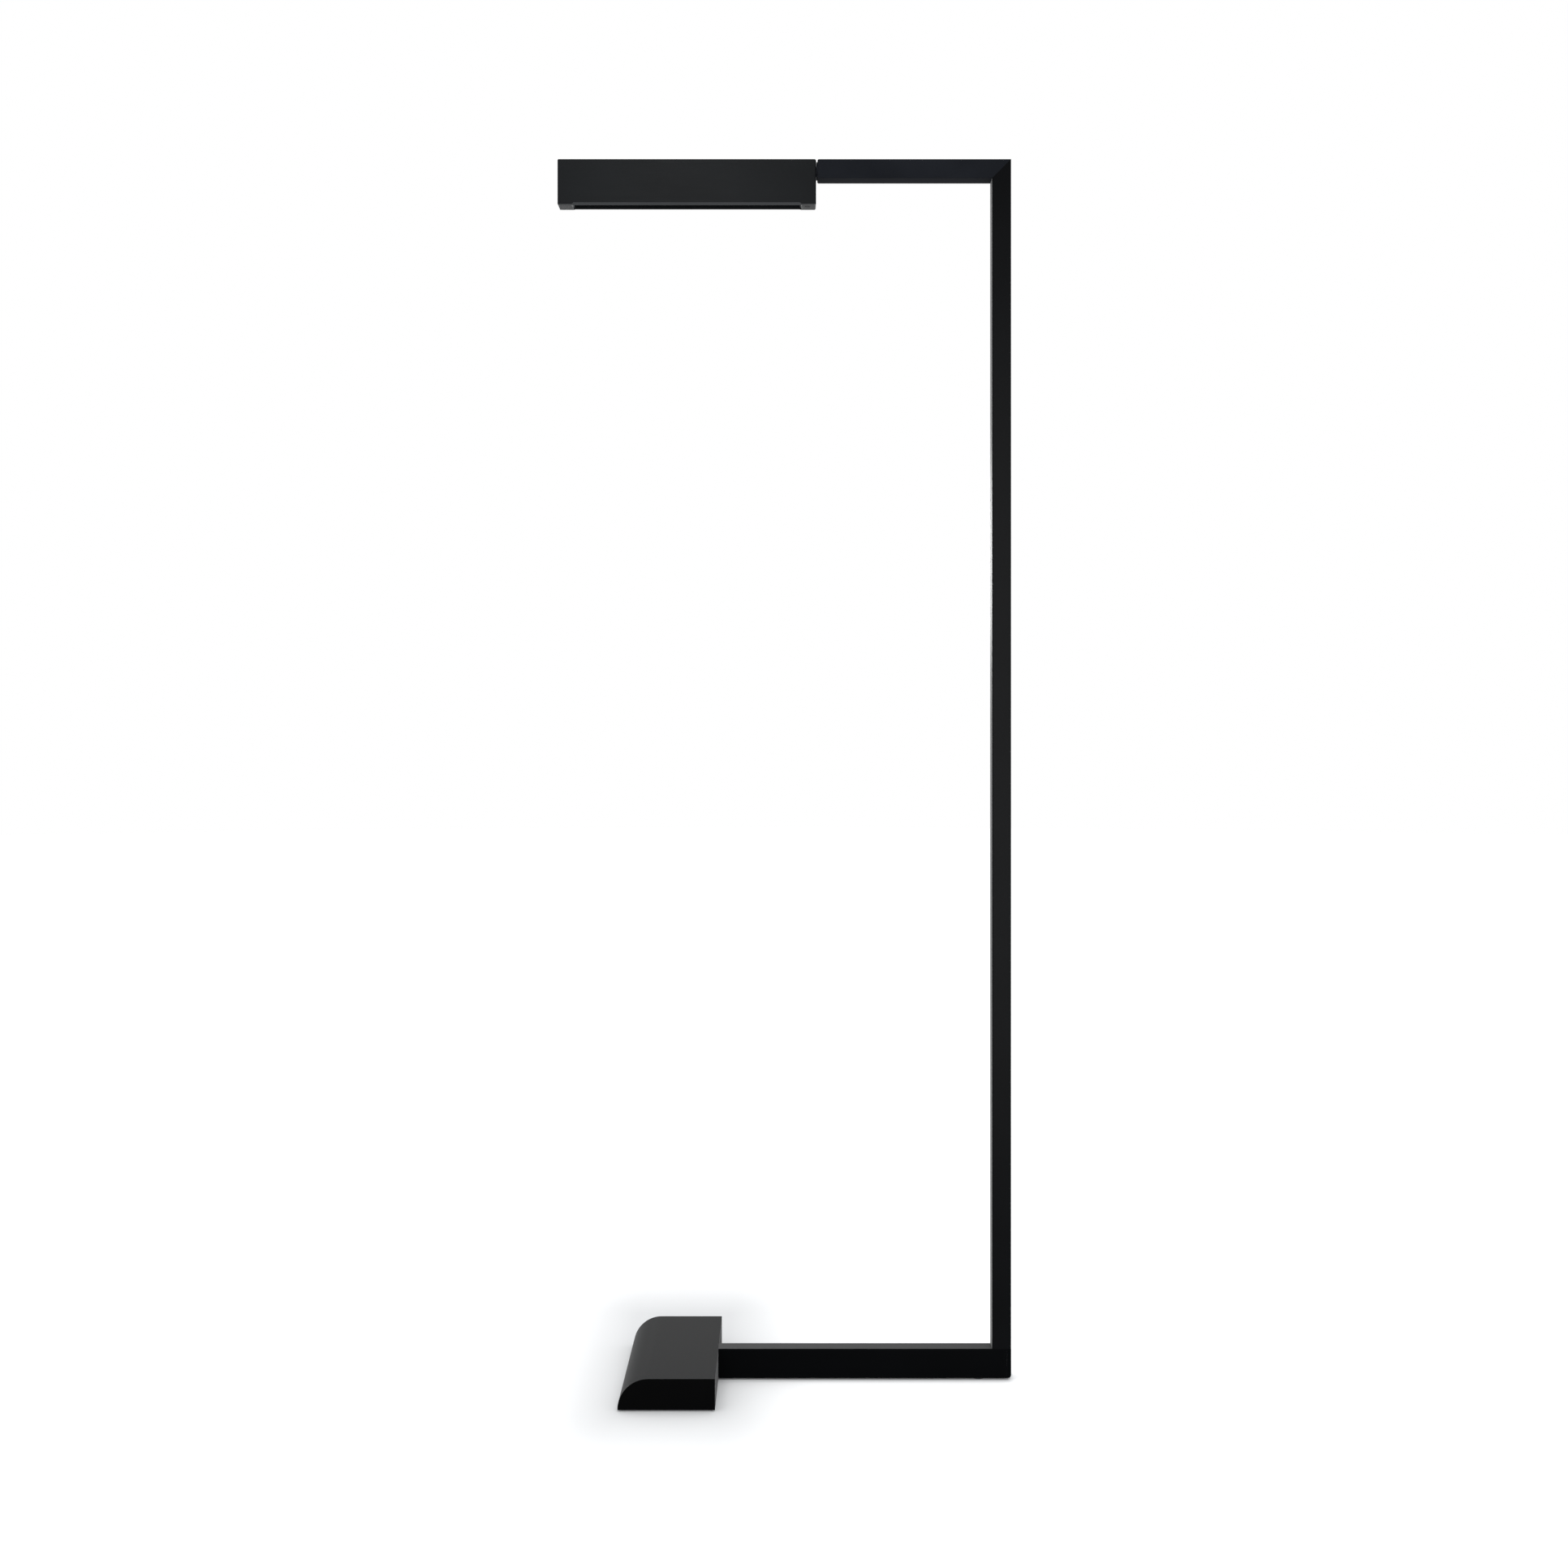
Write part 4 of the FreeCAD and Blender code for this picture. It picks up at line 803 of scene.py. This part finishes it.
# Each node of screws: the kind of head, and which way it faces
SCREWS = {
    "base_bolts": ("countersunk", (0, 0, -1)),
    "tenon_bolts": ("countersunk", (0, 0, -1)),
    "post_bolts": ("countersunk", (0, 0, -1)),
    "end_cap_screw": ("countersunk", (1, 0, 0)),
    "cap_screws": ("countersunk", (0, 1, 0)),
    "post_set_screws": ("headless", (0, 1, 0)),
    "corner_screws": ("headless", (0, 1, 0)),
    "plug_screws": ("headless", (0, 1, 0)),
    "board_screws": ("pan", (0, 0, -1)),
    "driver_screws": ("pan", (0, 0, 1)),
}
# The radius of each kind of head, in shank radii
HEAD_RADII = {"countersunk": 2.0, "headless": 1.0, "pan": 1.9}


class FLOOR_LIGHT_OT_stage(bpy.types.Operator):
    """Set up the camera, the lamps, the world and the floor"""

    bl_idname = "floor_light.stage"
    bl_label = "Stage"

    def execute(self, context):
        studio = context.scene.floor_light_studio
        make_camera(context.scene, studio)
        for name, (power, *settings) in LAMPS.items():
            make_lamp(name, getattr(studio, power), *settings)
        make_world(context.scene)
        make_floor(studio.floor_radius)
        context.scene.view_settings.view_transform = "Standard"
        return {"FINISHED"}


class FLOOR_LIGHT_OT_finishes(bpy.types.Operator):
    """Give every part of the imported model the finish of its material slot"""

    bl_idname = "floor_light.finishes"
    bl_label = "Finishes"

    def execute(self, context):
        FINISHES.update(make_finishes(context.scene.floor_light_colours))
        for name, node in frame["nodes"].items():
            for slot in node.material_slots:
                slot.material = FINISHES[slot_of(name)]
        return {"FINISHED"}


class FLOOR_LIGHT_OT_metalwork(bpy.types.Operator):
    """Model the base block, the tubes and their plugs with eased edges"""

    bl_idname = "floor_light.metalwork"
    bl_label = "Metalwork"

    def execute(self, context):
        sizes = context.scene.floor_light_sizes
        for node, (easing, finish) in METALWORK.items():
            bm = merged_copy(node)
            ease(bm, sharp_edges(bm, CREASE_ANGLE), getattr(sizes, easing))
            put(bm, node + ".eased", node, FINISHES[finish])
        return {"FINISHED"}


class FLOOR_LIGHT_OT_head(bpy.types.Operator):
    """Model the head's casing and caps, with milled facets round the opening painted lighter as a
    painted highlight, and a matt black inside painted darker, partly as painted shade
    """

    bl_idname = "floor_light.head"
    bl_label = "Head"

    def execute(self, context):
        sizes = context.scene.floor_light_sizes
        facet_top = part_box("head_housing")[0].z + 3 * MM
        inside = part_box("diffuser")[1].y + 0.05 * MM
        extra = [FINISHES["milled_facet"], FINISHES["matt_cavity_painted_shade"]]
        for node in HEAD_PARTS:
            bm = merged_copy(node)
            for face in bm.faces:
                middle = face.calc_center_median()
                slopes_down = -0.9 < face.normal.z < -0.3
                if slopes_down and middle.z < facet_top:
                    face.material_index = MILLED_PAINTED_HIGHLIGHT
                elif node == "head_housing" and abs(middle.y) < inside:
                    face.material_index = MATT_PAINTED_SHADE
            ease(bm, sharp_edges(bm, CREASE_ANGLE), sizes.head_easing)
            put(bm, node + ".eased", node, FINISHES["black_aluminium"], *extra)
        return {"FINISHED"}


class FLOOR_LIGHT_OT_base_pad(bpy.types.Operator):
    """Model the felt pad under the base block, with soft uneven edges"""

    bl_idname = "floor_light.base_pad"
    bl_label = "Base pad"

    def execute(self, context):
        sizes = context.scene.floor_light_sizes
        low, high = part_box("base_pad")
        middle, cut = (low + high) / 2, high - low
        place = Matrix.Translation(middle) @ Matrix.Diagonal((*cut, 1))
        bm = bmesh.new()
        bmesh.ops.create_cube(bm, size=1, matrix=place)
        ease(bm, [edge for edge in bm.edges if rise(edge) > 1 * MM], sizes.pad_corner, segments=8)
        rims = [edge for edge in bm.edges if rise(edge) < 0.1 * MM]
        ease(bm, rims, sizes.pad_softness, segments=3)
        long_edges = [edge for edge in bm.edges if edge.calc_length() > 60 * MM]
        bmesh.ops.subdivide_edges(bm, edges=long_edges, cuts=90, use_grid_fill=False)
        fineness = 260  # the wear changes about this often in a metre
        for vert in bm.verts:
            inward = (middle - vert.co).normalized()
            worn = 0.5 + 0.5 * noise.noise(vert.co * fineness)
            vert.co.xy += inward.xy * worn * sizes.pad_unevenness
        felt = put(bm, "base_pad.felt", "base_pad", FINISHES["grey_felt"])
        return {"FINISHED"}


class FLOOR_LIGHT_OT_foot_glide(bpy.types.Operator):
    """Turn the nylon glide under the post, with a crowned sole and a barbed stem"""

    bl_idname = "floor_light.foot_glide"
    bl_label = "Foot glide"

    def execute(self, context):
        low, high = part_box("foot_glide")
        radius = (high.x - low.x) / 2
        stem = 2.6 * MM
        thick = 1.5 * MM
        top = high.z - low.z
        sole = [
            (0, 0),
            (0.80 * radius, 0),
            (0.92 * radius, 0.10 * thick),
            (0.98 * radius, 0.35 * thick),
            (radius, 0.70 * thick),
            (0.98 * radius, thick),
            (1.35 * stem, thick),
        ]
        barbed_stem = [
            (0.96 * stem, thick),
            (0.96 * stem, 0.45 * top),
            (stem, 0.50 * top),
            (0.90 * stem, 0.68 * top),
            (stem, 0.72 * top),
            (0.80 * stem, top),
            (0, top),
        ]
        bm = bmesh.new()
        turn_profile(bm, sole + barbed_stem, steps=48)
        stand(bm, (*((low + high) / 2).xy, low.z), (0, 0, 1))
        put(bm, "foot_glide.turned", "foot_glide", FINISHES["black_nylon"])
        return {"FINISHED"}


class FLOOR_LIGHT_OT_cable_gland(bpy.types.Operator):
    """Model the cord's inlet: a threaded body, a hexagon collar, a fluted dome nut and its bore"""

    bl_idname = "floor_light.cable_gland"
    bl_label = "Cable gland"

    def execute(self, context):
        low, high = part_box("cable_gland")
        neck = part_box("foot_bar")[1].y - low.y  # the collar meets the bar's wall here
        collar = neck + 3 * MM
        top = high.y - low.y
        corner = (high.x - low.x) / 2
        bore, screw, dome = 3.25 * MM, 6.0 * MM, 6.9 * MM
        flutes, flute_depth = 12, 0.08
        body = [*thread(screw, neck - 0.3 * MM, 0.4 * MM, 1.5 * MM)[::-1], (screw, neck)]
        hexagon = [(corner, neck), (corner, collar)]
        shares = ((1, 0), (1, 0.45), (0.96, 0.62), (0.88, 0.80), (0.76, 0.94), (0.68, 1))
        nut = [(reach * dome, collar + height * (top - collar)) for reach, height in shares]
        inside = [
            (bore + 0.7 * MM, top),
            (bore + 0.1 * MM, top - 0.6 * MM),
            (bore, top - 1.4 * MM),
            (bore, 0.3 * MM),
            (bore + 0.3 * MM, 0),
        ]
        bm = bmesh.new()
        turn_profile(bm, body + hexagon + nut + inside, steps=72, closed=True)
        for vert in bm.verts:
            angle = math.atan2(vert.co.y, vert.co.x)
            reach = vert.co.xy.length
            if abs(reach - corner) < 0.01 * MM:
                flatten_to_hexagon(vert)
            elif reach > 0.7 * dome and vert.co.z > collar + 0.5 * MM:
                vert.co.xy *= 1 - flute_depth * (1 - math.cos(flutes * angle)) / 2
        outside_dome = dome + 0.3 * MM
        collar_edges = [
            edge
            for edge in sharp_edges(bm, CREASE_ANGLE)
            if all(vert.co.xy.length > outside_dome for vert in edge.verts)
        ]
        ease(bm, collar_edges, 0.3 * MM)
        stand(bm, ((low.x + high.x) / 2, low.y, (low.z + high.z) / 2), (0, 1, 0))
        put(bm, "cable_gland.fluted", "cable_gland", FINISHES["black_nylon"])
        return {"FINISHED"}


class FLOOR_LIGHT_OT_diffuser(bpy.types.Operator):
    """Extrude the opal diffuser, a shallow channel with rounded edges"""

    bl_idname = "floor_light.diffuser"
    bl_label = "Diffuser"

    def execute(self, context):
        low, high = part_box("diffuser")
        plate, leg = low.z + 2.0 * MM, 1.2 * MM
        outline = [
            (low.y, low.z),
            (high.y, low.z),
            (high.y, high.z),
            (high.y - leg, high.z),
            (high.y - leg, plate),
            (low.y + leg, plate),
            (low.y + leg, high.z),
            (low.y, high.z),
        ]
        bm = bmesh.new()
        end = bm.faces.new([bm.verts.new((low.x, y, z)) for y, z in outline])
        run = bmesh.ops.extrude_face_region(bm, geom=[end], use_keep_orig=True)
        moved = [part for part in run["geom"] if isinstance(part, bmesh.types.BMVert)]
        bmesh.ops.translate(bm, vec=(high.x - low.x, 0, 0), verts=moved)
        bmesh.ops.recalc_face_normals(bm, faces=bm.faces)
        ease(bm, sharp_edges(bm, CREASE_ANGLE), 0.3 * MM, segments=3)
        put(bm, "diffuser.opal", "diffuser", FINISHES["opal_acrylic"])
        return {"FINISHED"}


class FLOOR_LIGHT_OT_dimmer_button(bpy.types.Operator):
    """Turn the dimmer button, with a shallow dish for the fingertip, a flange and a stem"""

    bl_idname = "floor_light.dimmer_button"
    bl_label = "Dimmer button"

    def execute(self, context):
        low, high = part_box("dimmer_button")
        flange = (high.x - low.x) / 2
        cap, stem = 2.9 * MM, 1.2 * MM
        foot = 3.25 * MM
        shoulder = foot + 1.0 * MM
        top = high.z - low.z
        dished_cap = [
            (0, 0.22 * MM),
            (0.45 * cap, 0.18 * MM),
            (0.72 * cap, 0.06 * MM),
            (0.80 * cap, 0),
            (0.90 * cap, 0),
            (0.97 * cap, 0.08 * MM),
            (cap, 0.28 * MM),
            (cap, foot),
        ]
        rim = [
            (0.98 * flange, foot),
            (flange, foot + 0.1 * MM),
            (flange, shoulder - 0.1 * MM),
            (0.98 * flange, shoulder),
        ]
        end = [(stem, shoulder), (stem, top - 0.2 * MM), (0.8 * stem, top), (0, top)]
        bm = bmesh.new()
        turn_profile(bm, dished_cap + rim + end, steps=48)
        stand(bm, (*((low + high) / 2).xy, low.z), (0, 0, 1))
        put(bm, "dimmer_button.turned", "dimmer_button", FINISHES["black_aluminium"])
        return {"FINISHED"}


class FLOOR_LIGHT_OT_button_spring(bpy.types.Operator):
    """Finish the dimmer button's wound spring, on a mesh of its own"""

    bl_idname = "floor_light.button_spring"
    bl_label = "Button spring"

    def execute(self, context):
        bm = merged_copy("button_spring")
        spring = put(bm, "button_spring.wound", "button_spring", FINISHES["spring_steel"])
        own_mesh(spring)
        return {"FINISHED"}


class FLOOR_LIGHT_OT_screws(bpy.types.Operator):
    """Model every screw with its hexagon socket, head and thread"""

    bl_idname = "floor_light.screws"
    bl_label = "Screws"

    def execute(self, context):
        for node, (head, outward) in SCREWS.items():
            outward = Vector(outward)
            axis = max(range(3), key=lambda number: abs(outward[number]))
            width = (axis + 1) % 3
            places = []
            for low, high in solids_of(node):
                place = (low + high) / 2
                place[axis] = high[axis] if outward[axis] > 0 else low[axis]
                places.append(place)
            length = high[axis] - low[axis]
            radius = (high[width] - low[width]) / 2 / HEAD_RADII[head]
            master = socket_screw(radius, length, head)
            put(repeat(master, places, outward), node + ".socket", node, FINISHES[slot_of(node)])
        return {"FINISHED"}


class FLOOR_LIGHT_PT_panel(bpy.types.Panel):
    """The floor light's operators, in the sidebar"""

    bl_label = "Floor light"
    bl_idname = "FLOOR_LIGHT_PT_panel"
    bl_space_type = "VIEW_3D"
    bl_region_type = "UI"
    bl_category = "Floor light"

    def draw(self, context):
        for operator in OPERATORS:
            self.layout.operator(operator.bl_idname)


OPERATORS = (
    FLOOR_LIGHT_OT_stage,
    FLOOR_LIGHT_OT_finishes,
    FLOOR_LIGHT_OT_metalwork,
    FLOOR_LIGHT_OT_head,
    FLOOR_LIGHT_OT_base_pad,
    FLOOR_LIGHT_OT_foot_glide,
    FLOOR_LIGHT_OT_cable_gland,
    FLOOR_LIGHT_OT_diffuser,
    FLOOR_LIGHT_OT_dimmer_button,
    FLOOR_LIGHT_OT_button_spring,
    FLOOR_LIGHT_OT_screws,
)
SETTINGS = {
    "floor_light_colours": FloorLightColours,
    "floor_light_sizes": FloorLightSizes,
    "floor_light_studio": FloorLightStudio,
}
CLASSES = (*SETTINGS.values(), *OPERATORS, FLOOR_LIGHT_PT_panel)


def register():
    """Add the classes and the scene's settings."""
    for cls in CLASSES:
        bpy.utils.register_class(cls)
    for name, group in SETTINGS.items():
        setattr(bpy.types.Scene, name, bpy.props.PointerProperty(type=group))


def unregister():
    """Take them away again."""
    for name in SETTINGS:
        delattr(bpy.types.Scene, name)
    for cls in reversed(CLASSES):
        bpy.utils.unregister_class(cls)


def main():
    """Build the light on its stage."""
    register()
    bpy.ops.floor_light.stage()
    bpy.ops.floor_light.finishes()
    bpy.ops.floor_light.metalwork()
    bpy.ops.floor_light.head()
    bpy.ops.floor_light.base_pad()
    bpy.ops.floor_light.foot_glide()
    bpy.ops.floor_light.cable_gland()
    bpy.ops.floor_light.diffuser()
    bpy.ops.floor_light.dimmer_button()
    bpy.ops.floor_light.button_spring()
    bpy.ops.floor_light.screws()
    bpy.context.view_layer.update()


if __name__ == "__main__":
    main()
